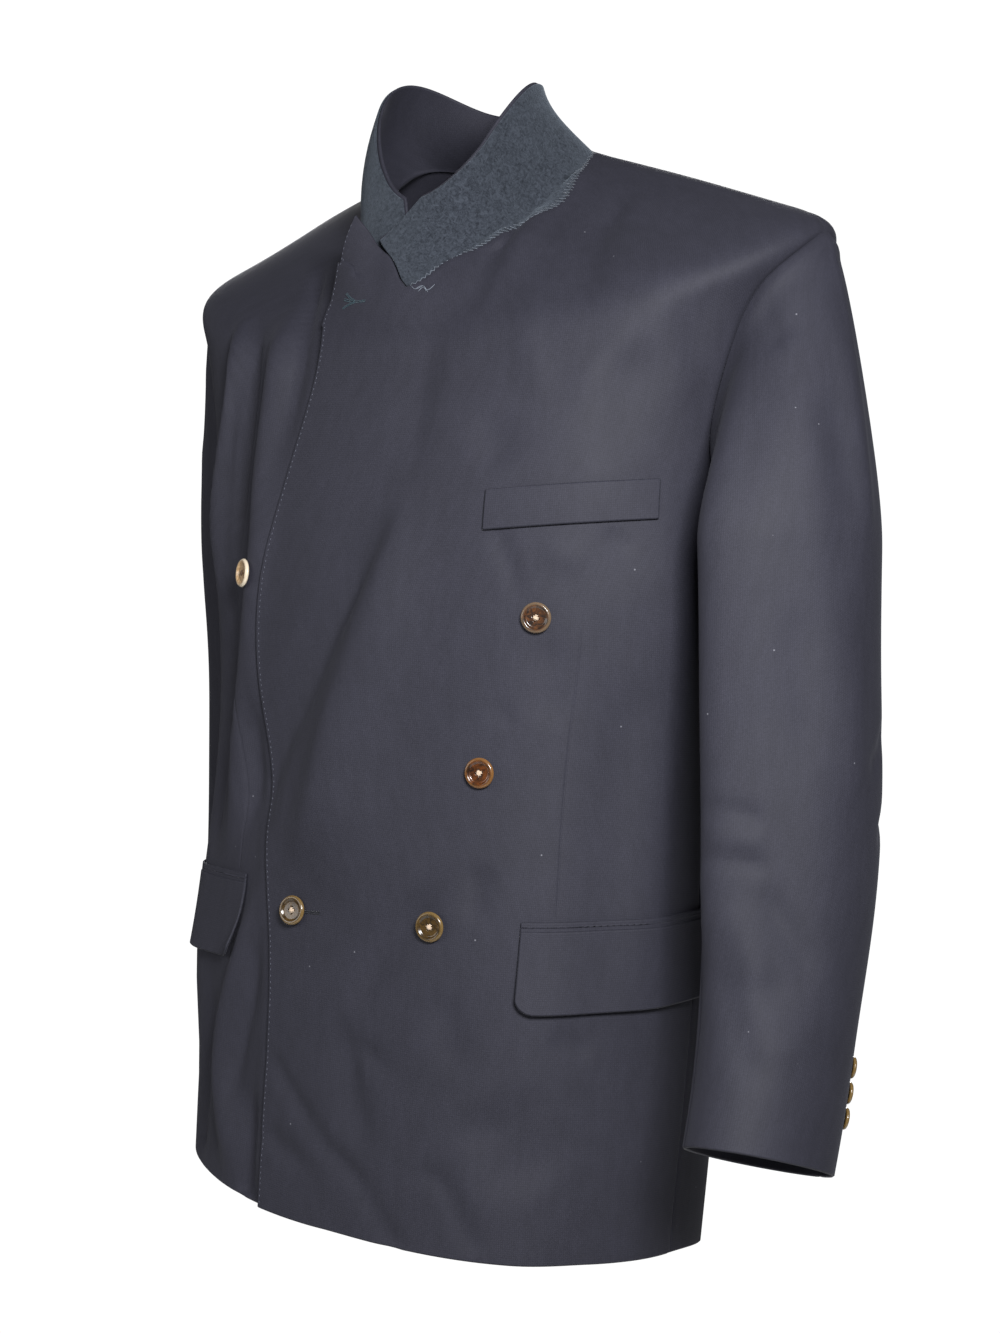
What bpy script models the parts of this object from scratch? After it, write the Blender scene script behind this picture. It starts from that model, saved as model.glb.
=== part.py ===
"""Double breasted blazer, worn: left front over right, collar turned up and peak lapels unrolled.

Metres, +Z up. The front faces -Y and the wearer's left is +X. The origin lies between the two points
where the shoulder seams meet the neck. Each piece of cloth is a closed wall, and all of them lie on one
form: a loft of rings round the body, from the hem up over the shoulders to the top of the collar.
"""
import math

import bmesh
import bpy
import numpy as np
from mathutils import Vector

# ---------------------------------------------------------------- driving sizes
NAME = "double_breasted_blazer"
CLOTH = 0.0020            # suit cloth with its canvas
FELT = 0.0016             # under collar
SEAM_GAP = 0.0003         # between two pieces at a seam
LAP = 0.0060              # how far the left front stands out over the right one
LAP_FULL, LAP_NONE = 40.0, 62.0   # degrees round the body where the lap is whole, and where it ends
LAY = 0.0006              # between a panel and what is sewn onto it

# Rings of the form, from the hem up. shift: middle of the ring, to the left. half: half width.
# y and z at the front, the sides and the back. tilt: how much higher the left side is. power: 2 is an
# ellipse, more is squarer.
BODY_RINGS = {
    # row:       shift,  half,  y_front, y_side, y_back, z_front, z_side, z_back, tilt, power
    "hem":      (-0.027, 0.196, -0.184, -0.036, 0.108, -0.779, -0.780, -0.824, -0.022, 2.5),
    "seat":     (-0.022, 0.199, -0.180, -0.030, 0.117, -0.680, -0.682, -0.712, -0.017, 2.5),
    "pocket":   (-0.014, 0.199, -0.174, -0.024, 0.124, -0.560, -0.560, -0.576, -0.010, 2.5),
    "waist":    (-0.006, 0.198, -0.166, -0.015, 0.128, -0.440, -0.440, -0.446, -0.005, 2.5),
    "rib":      (0.000, 0.208, -0.163, -0.010, 0.140, -0.350, -0.350, -0.350, 0.0, 2.5),
    "underarm": (0.000, 0.215, -0.162, -0.008, 0.147, -0.285, -0.285, -0.285, 0.0, 2.5),
    "chest":    (0.000, 0.222, -0.157, -0.008, 0.147, -0.238, -0.222, -0.228, 0.0, 2.5),
    "yoke":     (0.001, 0.239, -0.149, -0.008, 0.138, -0.195, -0.152, -0.172, 0.0, 2.4),
    "cap":      (0.004, 0.258, -0.143, -0.008, 0.125, -0.168, -0.106, -0.132, 0.0, 2.3),
    "shoulder": (0.006, 0.269, -0.140, -0.008, 0.112, -0.155, -0.079, -0.102, 0.0, 2.1),
    "pad":      (0.006, 0.239, -0.136, -0.008, 0.094, -0.144, -0.0605, -0.090, 0.000, 1.9),
    "slope":    (0.002, 0.168, -0.131, -0.006, 0.062, -0.128, -0.034, -0.050, -0.002, 1.8),
    "neck":     (-0.006, 0.085, -0.125, -0.006, 0.024, -0.1075, -0.010, -0.003, -0.002, 2.0),
}
COLLAR_RINGS = {
    "neck":     BODY_RINGS["neck"],
    "crease":   (-0.009, 0.0755, -0.118, -0.036, 0.014, -0.082, 0.014, 0.018, -0.003, 2.0),
    "top":      (0.000, 0.0605, -0.110, -0.056, 0.014, -0.045, 0.045, 0.036, -0.007, 2.0),
}
RING_NAMES = list(BODY_RINGS) + ["crease", "top"]
ROW = {name: float(number) for number, name in enumerate(RING_NAMES)}

# Armhole: degrees that it reaches in from the side, and how square its ends are.
ARMHOLE_FRONT, ARMHOLE_BACK, ARMHOLE_POWER = 17.0, 15.0, 4.0

SHOULDER_SEAM_BACK = 22.0          # degrees that the shoulder seam runs back on its way to the neck

# Front edge, as seen from the front: height, and how far past the middle it reaches.
FRONT_EDGE = (
    (-0.785, 0.0850), (-0.700, 0.0815), (-0.600, 0.0795), (-0.540, 0.0860), (-0.480, 0.0960),
    (-0.420, 0.1045), (-0.350, 0.1055), (-0.260, 0.0830), (-0.192, 0.0640), (-0.150, 0.0600),
    (-0.114, 0.0635), (-0.078, 0.0523),
)
# Collar seam on the fronts: degrees from the middle, and row of the form. The first is its corner.
GORGE = ((6.0, 11.69), (17.0, 11.86), (25.0, 11.99), (34.0, 11.89), (48.0, 11.88), (61.0, 11.79),
         (72.0, 11.87), (92.0, 12.0))
GORGE_CORNER = GORGE[0][0]
# Top edge of the lapel, from the corner out to its peak: degrees, and row of the form.
LAPEL_TOP = ((6.0, 11.69), (2.2, 12.37), (-6.0, 12.86), (-14.5, 13.12), (-23.8, 13.29))
LAPEL_PEAK = LAPEL_TOP[-1]
PEAK_WIDTH = 1.5          # degrees that the blunt end of the peak takes
PEAK_STAND = 0.020        # how far the stiff peak stands off the neck
STAND_TURNS, STAND_ROWS = (-5.0, -40.0), (10.6, 12.0)   # where that stand begins, and where it is whole
# Short end of the collar, from the seam up to its tip: degrees, and row of the form.
COLLAR_END = ((6.9, 11.76), (3.7, 12.40), (-2.6, 12.88), (-10.4, 13.16))
COLLAR_TIP = COLLAR_END[-1]
COLLAR_FULL = 8.8         # degrees where the collar reaches its whole height

# Arms: middle of the sleeve, half width across and half depth fore and aft.
LEFT_ARM = (
    # x, y, z, across, depth
    (0.2740, -0.0500, -0.300, 0.0540, 0.0750),
    (0.2765, -0.0540, -0.385, 0.0535, 0.0725),
    (0.2795, -0.0575, -0.452, 0.0530, 0.0735),
    (0.2815, -0.0670, -0.536, 0.0510, 0.0710),
    (0.2825, -0.0850, -0.612, 0.0470, 0.0655),
    (0.2830, -0.1010, -0.668, 0.0450, 0.0635),
    (0.2835, -0.1155, -0.704, 0.0440, 0.0630),
)
RIGHT_ARM = (
    (0.2665, 0.0520, -0.300, 0.0500, 0.0720),
    (0.2675, 0.0600, -0.385, 0.0500, 0.0705),
    (0.2690, 0.0620, -0.452, 0.0500, 0.0705),
    (0.2715, 0.0600, -0.536, 0.0485, 0.0680),
    (0.2740, 0.0530, -0.610, 0.0460, 0.0640),
    (0.2745, 0.0470, -0.655, 0.0440, 0.0625),
    (0.2750, 0.0420, -0.690, 0.0430, 0.0610),
)
CAP_OUT = {1: 0.044, -1: 0.030}    # how strongly each sleeve leaves the armhole
CAP_DOWN = 0.200                   # how strongly it turns down
ARM_LEAN = 0.8                     # how much the rings of a sleeve lean with the arm
CAP_LIFT = 0.6                     # how much it follows the panel before it turns
CAP_LEAST = 0.30                   # least part of both, under the arm
FOLD_START = 0.6                   # how far a sleeve may face away from its panel before it lies on it

# Pockets: front end and height seen from the front, length round the cloth.
WELT_X, WELT_Z, WELT_LENGTH, WELT_HEIGHT, WELT_RISE = 0.0957, -0.2600, 0.115, 0.026, 0.008
POCKET_X = {1: 0.119, -1: 0.115}
POCKET_Z, POCKET_LENGTH, JET_HEIGHT = -0.555, 0.165, 0.006
FLAP_HEIGHT, FLAP_THICK, FLAP_STAND, FLAP_CORNER = 0.055, 0.0020, 0.0030, 0.012
POCKET_RIGHT_RISE = 0.018

# Buttons: distance from the middle and height.
BUTTON_RADIUS, BUTTON_THICK, BUTTON_SHANK = 0.0105, 0.0034, 0.0016
CUFF_BUTTON_RADIUS, CUFF_BUTTON_THICK, CUFF_BUTTON_SHANK = 0.0075, 0.0026, 0.0010
SHANK_RADIUS = 0.0020
FRONT_BUTTONS = {
    "button_left_top": (0.1280, -0.3460, "left"),
    "button_left_middle": (0.0914, -0.4530, "left"),
    "button_left_low": (0.0600, -0.5600, "left"),
    "button_fastened": (-0.0560, -0.5575, "left"),
    "button_right_top": (-0.1130, -0.3142, "right"),
}
CUFF_BUTTON_UP = (0.0400, 0.0575, 0.0750)   # above the hem of the sleeve
CUFF_BUTTON_TURN = 0.95            # columns from the hind seam, on the top sleeve

# How finely the walls are divided: rows of the form for each zone.
SKIRT_ROWS = (0.0, 0.6, 1.2, 1.8, 2.4, 3.0, 3.6, 4.3)
ARMHOLE_ROWS = (5.0, 5.08, 5.30, 5.80, 6.50, 7.20, 7.90, 8.50, 8.85, 9.0)
SHOULDER_ROWS = (9.6, 10.2, 11.0, 11.5, 12.0)
LAPEL_STEPS, LAP_COLUMNS, FRONT_COLUMNS, BACK_COLUMNS = 5, 5, 9, 8
COLLAR_STEPS, CAP_STEPS = 4, 5
ARM_ROWS = (1.6, 2.2, 2.8, 3.5, 4.2, 4.9, 5.6, 6.2, 7.0)
UNDER_FRONT, UNDER_BACK = 3, 6     # armhole steps below which the under sleeve lies


# ---------------------------------------------------------------- the form
def bends(knots, table):
    """Second slopes of the smooth curve that runs through the table's rows."""
    count = len(knots)
    gap = np.diff(knots)
    system = np.eye(count)
    pull = np.zeros_like(table)
    for i in range(1, count - 1):
        system[i, i - 1:i + 2] = gap[i - 1], 2 * (gap[i - 1] + gap[i]), gap[i]
        pull[i] = 6 * ((table[i + 1] - table[i]) / gap[i] - (table[i] - table[i - 1]) / gap[i - 1])
    return np.linalg.solve(system, pull)


def make_loft(rows, lengths):
    """A table, its places along the loft and its bends, ready for read_loft."""
    table = np.array(rows, float)
    knots = np.concatenate([[0.0], np.cumsum(lengths(table))])
    return knots, table, bends(knots, table)


def read_loft(loft, row):
    """The table's columns at a row number, which may lie between two rows."""
    knots, table, bend = loft
    at = np.interp(row, np.arange(len(knots)), knots)
    i = np.clip(np.searchsorted(knots, at, side="right") - 1, 0, len(knots) - 2)
    gap = (knots[i + 1] - knots[i])[..., None]
    after = (at[..., None] - knots[i][..., None]) / gap
    before = 1 - after
    curve = (before ** 3 - before) * bend[i] + (after ** 3 - after) * bend[i + 1]
    return before * table[i] + after * table[i + 1] + curve * gap ** 2 / 6


def ring_lengths(table):
    """Distance from ring to ring: the mean of the climb at the side and at the front."""
    step = np.diff(table, axis=0)
    side = np.hypot(step[:, 1], step[:, 6])
    front = np.hypot(step[:, 2], step[:, 5])
    return (side + front) / 2


def arm_lengths(table):
    return np.linalg.norm(np.diff(table[:, :3], axis=0), axis=1)


BODY_LOFT = make_loft(list(BODY_RINGS.values()), ring_lengths)
COLLAR_LOFT = make_loft(list(COLLAR_RINGS.values()), ring_lengths)


def ring_at(row):
    """Ring sizes at a row of the form: body below the neck seam, collar above it."""
    row = np.asarray(row, float)
    body = read_loft(BODY_LOFT, np.clip(row, 0, ROW["neck"]))
    collar = read_loft(COLLAR_LOFT, np.clip(row - ROW["neck"], 0, 2))
    return np.where((row > ROW["neck"])[..., None], collar, body)


def form(turn, row):
    """Point of the form, turn degrees round from the front towards the left, at a row."""
    turn, row = np.broadcast_arrays(np.asarray(turn, float), np.asarray(row, float))
    shift, half, y_front, y_side, y_back, z_front, z_side, z_back, tilt, power = np.moveaxis(ring_at(row), -1, 0)
    sine, cosine = np.sin(np.radians(turn)), np.cos(np.radians(turn))
    across = np.sign(sine) * np.abs(sine) ** (2 / power)
    along = np.sign(cosine) * np.abs(cosine) ** (2 / power)
    middle = (y_front + y_back) / 2
    y = middle - (y_back - y_front) / 2 * along + (y_side - middle) * (1 - along ** 2)
    lean = (z_front - z_back) / 2
    saddle = ((z_front + z_back) / 2 - z_side) / 2
    z = z_side + saddle + lean * cosine + saddle * np.cos(2 * np.radians(turn)) + tilt * sine
    return np.stack([shift + half * across, y, z], axis=-1)


def form_normal(turn, row):
    """Direction straight out of the form."""
    turn, row = np.broadcast_arrays(np.asarray(turn, float), np.asarray(row, float))
    low, high = np.maximum(row - 0.02, 0), np.minimum(row + 0.02, ROW["top"])
    round_body = form(turn + 0.5, row) - form(turn - 0.5, row)
    upward = form(turn, high) - form(turn, low)
    out = np.cross(round_body, upward)
    return out / np.linalg.norm(out, axis=-1, keepdims=True)


def ease(value, start, end):
    """Smooth step: 0 at start, 1 at end."""
    part = np.clip((np.asarray(value, float) - start) / (end - start), 0, 1)
    return part * part * (3 - 2 * part)


def lap_lift(turn, row):
    """How far a left hand piece stands out: whole over the right front, nothing at the side."""
    stand = PEAK_STAND * ease(turn, *STAND_TURNS) * ease(row, *STAND_ROWS)
    return LAP * ease(turn, LAP_NONE, LAP_FULL) + stand


def on_form(turn, row, out, lapped):
    """Point at a distance out from the form, on the lapped layer or the one below it."""
    turn, row = np.broadcast_arrays(np.asarray(turn, float), np.asarray(row, float))
    distance = out + (lap_lift(turn, row) if lapped else 0 * turn)
    return form(turn, row) + form_normal(turn, row) * distance[..., None]


def turn_at(x, row):
    """Degrees round the form at a distance x from the middle, on the front."""
    ring = ring_at(np.asarray(row, float))
    part = np.clip((x - ring[..., 0]) / ring[..., 1], -1, 1)
    return np.degrees(np.arcsin(np.sign(part) * np.abs(part) ** (ring[..., 9] / 2)))


def row_at(turn, z):
    """Row of the form at a height."""
    rows = np.linspace(0, ROW["neck"], 600)
    return float(np.interp(z, form(turn, rows)[:, 2], rows))


def place(x, z):
    """Turn and row of a point that is seen from the front at x and z."""
    turn = 0.0
    for _ in range(6):
        row = row_at(turn, z)
        turn = float(turn_at(x, row))
    return turn, row


def turns_along(turn, row, lengths, side):
    """Turns at distances round the cloth from a first turn, towards one side."""
    steps = turn + side * np.linspace(0, 75, 300)
    points = form(steps, row)
    run = np.concatenate([[0.0], np.cumsum(np.linalg.norm(np.diff(points, axis=0), axis=1))])
    return np.interp(lengths, run, steps)


# ---------------------------------------------------------------- building in Blender
def start_clean():
    for old in list(bpy.data.objects):
        bpy.data.objects.remove(old, do_unlink=True)
    collection = bpy.data.collections.new(NAME)
    bpy.context.scene.collection.children.link(collection)
    return collection


def make_material(name, colour, roughness):
    material = bpy.data.materials.new(name)
    material.use_nodes = True
    shader = material.node_tree.nodes["Principled BSDF"]
    shader.inputs["Base Color"].default_value = (*colour, 1.0)
    shader.inputs["Roughness"].default_value = roughness
    shader.inputs["Metallic"].default_value = 0.0
    return material


def add_object(name, mesh, material):
    mesh.materials.append(material)
    piece = bpy.data.objects.new(name, mesh)
    COLLECTION.objects.link(piece)
    return piece


def draw_in(grid, *edges, by=SEAM_GAP / 2):
    """Draw a piece's sewn edges in by half the seam gap. An edge is a row or column and its neighbour."""
    moved = grid.copy()
    for edge, neighbour in edges:
        toward = grid[neighbour] - grid[edge]
        length = np.maximum(np.linalg.norm(toward, axis=-1, keepdims=True), 1e-9)
        moved[edge] += toward / length * by
    return moved


def wall(name, inner, outer, material, present=None):
    """Closed wall of cloth between two grids of points. present says which cells of the grid are cloth."""
    rows, columns = inner.shape[:2]
    if present is None:
        present = np.ones((rows - 1, columns - 1), bool)
    cloth = bmesh.new()
    corners = {}

    def vertex(layer, i, j):
        if (layer, i, j) not in corners:
            corners[layer, i, j] = cloth.verts.new((inner, outer)[layer][i, j])
        return corners[layer, i, j]

    def is_cloth(i, j):
        return 0 <= i < rows - 1 and 0 <= j < columns - 1 and present[i, j]

    for i, j in np.argwhere(present):
        loop = [(i, j), (i, j + 1), (i + 1, j + 1), (i + 1, j)]
        cloth.faces.new([vertex(1, *corner) for corner in loop])
        cloth.faces.new([vertex(0, *corner) for corner in reversed(loop)])
        beside = [(i - 1, j), (i, j + 1), (i + 1, j), (i, j - 1)]
        for number, neighbour in enumerate(beside):
            if not is_cloth(*neighbour):
                first, second = loop[number], loop[(number + 1) % 4]
                edge = [vertex(1, *first), vertex(0, *first), vertex(0, *second), vertex(1, *second)]
                cloth.faces.new(edge)
    bmesh.ops.recalc_face_normals(cloth, faces=cloth.faces)
    bmesh.ops.triangulate(cloth, faces=cloth.faces)
    mesh = bpy.data.meshes.new(name)
    cloth.to_mesh(mesh)
    cloth.free()
    return add_object(name, mesh, material)


# ---------------------------------------------------------------- fronts and backs
def armhole_turn(row, reach):
    """Degrees that the armhole comes in from the side at a row."""
    part = np.clip((row - ROW["underarm"]) / (ROW["shoulder"] - ROW["underarm"]), 0, 1)
    return reach * (1 - np.abs(2 * part - 1) ** ARMHOLE_POWER)


def shoulder_turn(row):
    """Turn of the shoulder seam, which runs back from the sleeve's top to the neck."""
    part = np.clip((np.asarray(row, float) - ROW["shoulder"]) / (ROW["neck"] - ROW["shoulder"]), 0, 1)
    return 90.0 + SHOULDER_SEAM_BACK * np.sin(part * math.pi / 2)


def edge_turn(row):
    """Turn of the front edge at a row, for the left front. The right front takes its mirror."""
    heights, reaches = np.array(FRONT_EDGE).T
    turns = np.linspace(-75.0, 0.0, 301)
    points = on_form(turns, row, CLOTH, True)
    inside = points[:, 0] + np.interp(points[:, 2], heights, reaches)
    return float(turns[np.argmax(inside > 0)])


def gorge_row(turn):
    """Row of the collar seam, at any turn. Behind the shoulder seams it is the neck ring."""
    turns, rows = np.array(GORGE).T
    turn = np.asarray(turn, float)
    from_front = np.where(turn > 180, 360 - turn, turn)
    return np.interp(from_front, turns, rows)


def front_grid(side):
    """Turns and rows of a front: side is 1 for the left, -1 for the right. Columns run from its edge."""
    rows = SKIRT_ROWS + ARMHOLE_ROWS + SHOULDER_ROWS
    grid = []
    for row in rows:
        outer = float(shoulder_turn(row) - armhole_turn(row, ARMHOLE_FRONT))
        edge = edge_turn(row)
        lap = np.linspace(edge, GORGE_CORNER, LAP_COLUMNS + 1)
        rest = np.linspace(GORGE_CORNER, outer, FRONT_COLUMNS + 1)[1:]
        turns = np.concatenate([lap, rest])
        up = max(0.0, (row - ROW["shoulder"]) / (ROW["neck"] - ROW["shoulder"]))
        grid.append([(turn, row + up * (gorge_row(turn) - ROW["neck"])) for turn in turns])
    top_turns, top_rows = np.array(LAPEL_TOP[::-1]).T
    below = np.array(grid[-1][:LAP_COLUMNS + 1])
    for step in np.linspace(0, 1, LAPEL_STEPS + 1)[1:]:
        edge = below[0] + (np.array(LAPEL_PEAK) - below[0]) * step
        inner = GORGE_CORNER + (LAPEL_PEAK[0] + PEAK_WIDTH - GORGE_CORNER) * step
        corner = np.array([inner, np.interp(inner, top_turns, top_rows)])
        lap = [tuple(edge + (corner - edge) * part) for part in np.linspace(0, 1, LAP_COLUMNS + 1)]
        grid.append(lap + [lap[-1]] * FRONT_COLUMNS)
    turns, rows = np.moveaxis(np.array(grid), -1, 0)
    present = np.ones((turns.shape[0] - 1, turns.shape[1] - 1), bool)
    present[-LAPEL_STEPS:, LAP_COLUMNS:] = False
    return side * turns, rows, present


def make_front(side, material):
    turns, rows, present = front_grid(side)
    neck = len(SKIRT_ROWS + ARMHOLE_ROWS + SHOULDER_ROWS) - 1
    gorge = (neck, slice(LAP_COLUMNS, None))
    below_gorge = (neck - 1, slice(LAP_COLUMNS, None))
    side_edge = (slice(None, neck + 1), -1)
    beside_edge = (slice(None, neck + 1), -2)
    layers = [draw_in(on_form(turns, rows, out, side > 0), (gorge, below_gorge), (side_edge, beside_edge))
              for out in (0.0, CLOTH)]
    return wall("front_left" if side > 0 else "front_right", *layers, material, present)


def back_grid(side):
    """Turns and rows of a back, from the side seam to the centre back seam."""
    grid = []
    for row in SKIRT_ROWS + ARMHOLE_ROWS + SHOULDER_ROWS:
        start = float(shoulder_turn(row) + armhole_turn(row, ARMHOLE_BACK))
        grid.append([(turn, row) for turn in np.linspace(start, 180.0, BACK_COLUMNS + 1)])
    turns, rows = np.moveaxis(np.array(grid), -1, 0)
    return side * turns, rows


def make_back(side, material):
    turns, rows = back_grid(side)
    edges = [((-1, slice(None)), (-2, slice(None))), ((slice(None), 0), (slice(None), 1)),
             ((slice(None), -1), (slice(None), -2))]
    layers = [draw_in(on_form(turns, rows, out, False), *edges) for out in (0.0, CLOTH)]
    return wall("back_left" if side > 0 else "back_right", *layers, material)


# ---------------------------------------------------------------- collar
def collar_end(count):
    """Turns at the seam, turns at the top and rows at the top, from a collar's end to the side."""
    seam = np.linspace(GORGE_CORNER, shoulder_turn(ROW["neck"]), count)
    top = np.linspace(COLLAR_TIP[0], shoulder_turn(ROW["neck"]), count)
    full = np.clip((top - COLLAR_TIP[0]) / (COLLAR_FULL - COLLAR_TIP[0]), 0, 1)
    return seam, top, COLLAR_TIP[1] + (ROW["top"] - COLLAR_TIP[1]) * full


def collar_grid():
    """Turns and rows of the whole collar, from its left end round the back to its right end."""
    seam, top, top_row = collar_end(FRONT_COLUMNS + 1)
    behind = np.linspace(shoulder_turn(ROW["neck"]), 180.0, BACK_COLUMNS + 1)[1:]
    half_seam = np.concatenate([seam, behind])
    half_top = np.concatenate([top, behind])
    half_row = np.concatenate([top_row, np.full(BACK_COLUMNS, ROW["top"])])
    seam_turns = np.concatenate([half_seam, 360 - half_seam[-2::-1]])
    top_turns = np.concatenate([half_top, 360 - half_top[-2::-1]])
    top_rows = np.concatenate([half_row, half_row[-2::-1]])
    up = np.linspace(0, 1, COLLAR_STEPS + 1)[:, None]
    turns = seam_turns + (top_turns - seam_turns) * up
    seam_rows = gorge_row(seam_turns)
    rows = seam_rows + (top_rows - seam_rows) * up
    end_turns, end_rows = np.array(COLLAR_END).T
    rows[:, 0] = rows[:, -1] = np.linspace(end_rows[0], end_rows[-1], COLLAR_STEPS + 1)
    turns[:, 0] = np.interp(rows[:, 0], end_rows, end_turns)
    turns[:, -1] = 360 - turns[:, 0]
    return turns, rows


def make_collar(name, bottom, top, material):
    turns, rows = collar_grid()
    edge = ((0, slice(None)), (1, slice(None)))
    layers = [draw_in(on_form(turns, rows, out, True), edge, by=SEAM_GAP) for out in (bottom, top)]
    return wall(name, *layers, material)


# ---------------------------------------------------------------- sleeves
def armhole_loop(side):
    """Turns and rows round an armhole: from the underarm up the front, then down the back."""
    rows = np.array(ARMHOLE_ROWS)
    front = 90.0 - armhole_turn(rows, ARMHOLE_FRONT)
    back = 90.0 + armhole_turn(rows, ARMHOLE_BACK)
    turns = np.concatenate([front, back[-2:0:-1]])
    return side * turns, np.concatenate([rows, rows[-2:0:-1]])


def arm_frame(loft, row, side):
    """Middle of the sleeve, its directions down, forward and outward, and its half sizes."""
    here = read_loft(loft, row)
    ahead = read_loft(loft, np.minimum(row + 0.05, len(loft[0]) - 1))
    behind = read_loft(loft, np.maximum(row - 0.05, 0))
    down = (ahead[..., :3] - behind[..., :3]) * np.array([ARM_LEAN, ARM_LEAN, 1.0])
    down /= np.linalg.norm(down, axis=-1, keepdims=True)
    forward = np.array([0.0, -1.0, 0.0]) - down * (-down[..., 1:2])
    forward /= np.linalg.norm(forward, axis=-1, keepdims=True)
    outward = np.cross(forward, down)
    outward *= np.sign(outward[..., 0:1])
    mirror = np.array([side, 1.0, 1.0])
    return here[..., :3] * mirror, down * mirror, forward * mirror, outward * mirror, here[..., 3:]


def arm_ring(loft, row, around, side):
    """Points of the sleeve at a row of its table. around is 0 at the body, a quarter turn at the front."""
    middle, down, forward, outward, size = arm_frame(loft, np.asarray(row, float), side)
    across = -np.cos(around)[..., None] * outward * size[..., 0:1]
    depth = np.sin(around)[..., None] * forward * size[..., 1:2]
    return middle + across + depth


def middle_out(ring):
    """Directions out from the middle of a ring of points."""
    out = ring - ring.mean(axis=0)
    return out / np.linalg.norm(out, axis=-1, keepdims=True)


def sleeve_grid(side):
    """Inner points of a whole sleeve and its outward normals: rows from armhole to cuff, columns around."""
    loft = make_loft(LEFT_ARM if side > 0 else RIGHT_ARM, arm_lengths)
    turns, rows = armhole_loop(side)
    start = on_form(turns, rows, 0.0, side > 0)
    lean = form_normal(turns, rows)
    ahead, behind = np.roll(start, -1, axis=0), np.roll(start, 1, axis=0)
    along = ahead - behind
    leave = np.cross(along, lean) * side
    leave /= np.linalg.norm(leave, axis=-1, keepdims=True)
    step = np.linalg.norm(ahead - start, axis=-1)
    top = len(ARMHOLE_ROWS) - 1
    run = np.concatenate([[0.0], np.cumsum(step)])
    front = math.pi * run[:top + 1] / run[top]
    back = math.pi + math.pi * (run[top + 1:-1] - run[top]) / (run[-1] - run[top])
    around = np.concatenate([front, back])
    outward = np.array([side, 0.0, 0.0]) + CAP_LIFT * leave
    outward /= np.linalg.norm(outward, axis=-1, keepdims=True)
    ring = arm_ring(loft, np.zeros_like(around), around, side)
    below = arm_ring(loft, np.full_like(around, 0.1), around, side)
    downward = (below - ring) / np.linalg.norm(below - ring, axis=-1, keepdims=True)
    reach = np.clip(np.linalg.norm(ring - start, axis=-1, keepdims=True) / CAP_DOWN, CAP_LEAST, 1.0)
    facing = (middle_out(ring) * lean).sum(-1, keepdims=True)
    fold = np.clip((FOLD_START - facing) / (2 * FOLD_START), 0, 1)
    start = start + lean * fold * 2 * (CLOTH + SEAM_GAP)
    grid = [start + outward * 2 * SEAM_GAP]
    for t in np.linspace(0, 1, CAP_STEPS + 1)[1:] ** 1.3:
        grid.append((2 * t ** 3 - 3 * t ** 2 + 1) * start + (t ** 3 - 2 * t ** 2 + t) * CAP_OUT[side] * reach * outward
                    + (3 * t ** 2 - 2 * t ** 3) * ring + (t ** 3 - t ** 2) * CAP_DOWN * reach * downward)
    for row in ARM_ROWS:
        grid.append(arm_ring(loft, np.full_like(around, row - 1), around, side))
    grid = np.array(grid)
    round_arm = np.roll(grid, -1, axis=1) - np.roll(grid, 1, axis=1)
    out = np.cross(np.gradient(grid, axis=0), round_arm) * side
    out /= np.linalg.norm(out, axis=-1, keepdims=True)
    turned = ease(fold, 0.5, 1.0)
    out[0] = lean * (1 - turned) + out[1] * turned
    out[0] /= np.linalg.norm(out[0], axis=-1, keepdims=True)
    out[1] += out[0]
    out[1] /= np.linalg.norm(out[1], axis=-1, keepdims=True)
    return grid, out


def make_sleeve(side, material):
    grid, out = sleeve_grid(side)
    count = grid.shape[1]
    top = len(ARMHOLE_ROWS) - 1
    over = np.arange(UNDER_FRONT, 2 * top - UNDER_BACK + 1)
    under = np.arange(2 * top - UNDER_BACK, count + UNDER_FRONT + 1) % count
    hand = "left" if side > 0 else "right"
    edges = [((slice(None), 0), (slice(None), 1)), ((slice(None), -1), (slice(None), -2))]
    for part, columns in (("top", over), ("under", under)):
        layers = [draw_in(grid[:, columns] + out[:, columns] * depth, *edges, by=SEAM_GAP)
                  for depth in (0.0, CLOTH)]
        wall(f"sleeve_{hand}_{part}", *layers, material)
    return grid, out, over


# ---------------------------------------------------------------- pockets
def make_welt(material):
    """Breast welt: a strip that rises a little towards the arm."""
    turn, row = place(WELT_X, WELT_Z)
    turns = turns_along(turn, row, np.linspace(0, WELT_LENGTH, 13), 1)
    rise = np.linspace(0, WELT_RISE, 13)
    drop = np.linspace(WELT_HEIGHT, 0, 4)
    rows = np.array([[row_at(t, WELT_Z + up - down) for t, up in zip(turns, rise)] for down in drop])
    turns = np.broadcast_to(turns, rows.shape)
    return wall("breast_welt", on_form(turns, rows, CLOTH + LAY, True),
                on_form(turns, rows, 2 * CLOTH + LAY, True), material)


def pocket_turns(side, z, lengths):
    turn, row = place(side * POCKET_X[side], z)
    return turns_along(turn, row, lengths, side)


def make_jet(side, material):
    """Narrow lip above the flap."""
    z = POCKET_Z + (0 if side > 0 else POCKET_RIGHT_RISE)
    turns = pocket_turns(side, z, np.linspace(0, POCKET_LENGTH, 19))
    rows = np.array([[row_at(t, z - down) for t in turns] for down in (JET_HEIGHT, 0.0)])
    turns = np.broadcast_to(turns, rows.shape)
    lapped = side > 0
    return wall("jet_left" if lapped else "jet_right", on_form(turns, rows, CLOTH + LAY, lapped),
                on_form(turns, rows, CLOTH + LAY + 0.0014, lapped), material)


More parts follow.
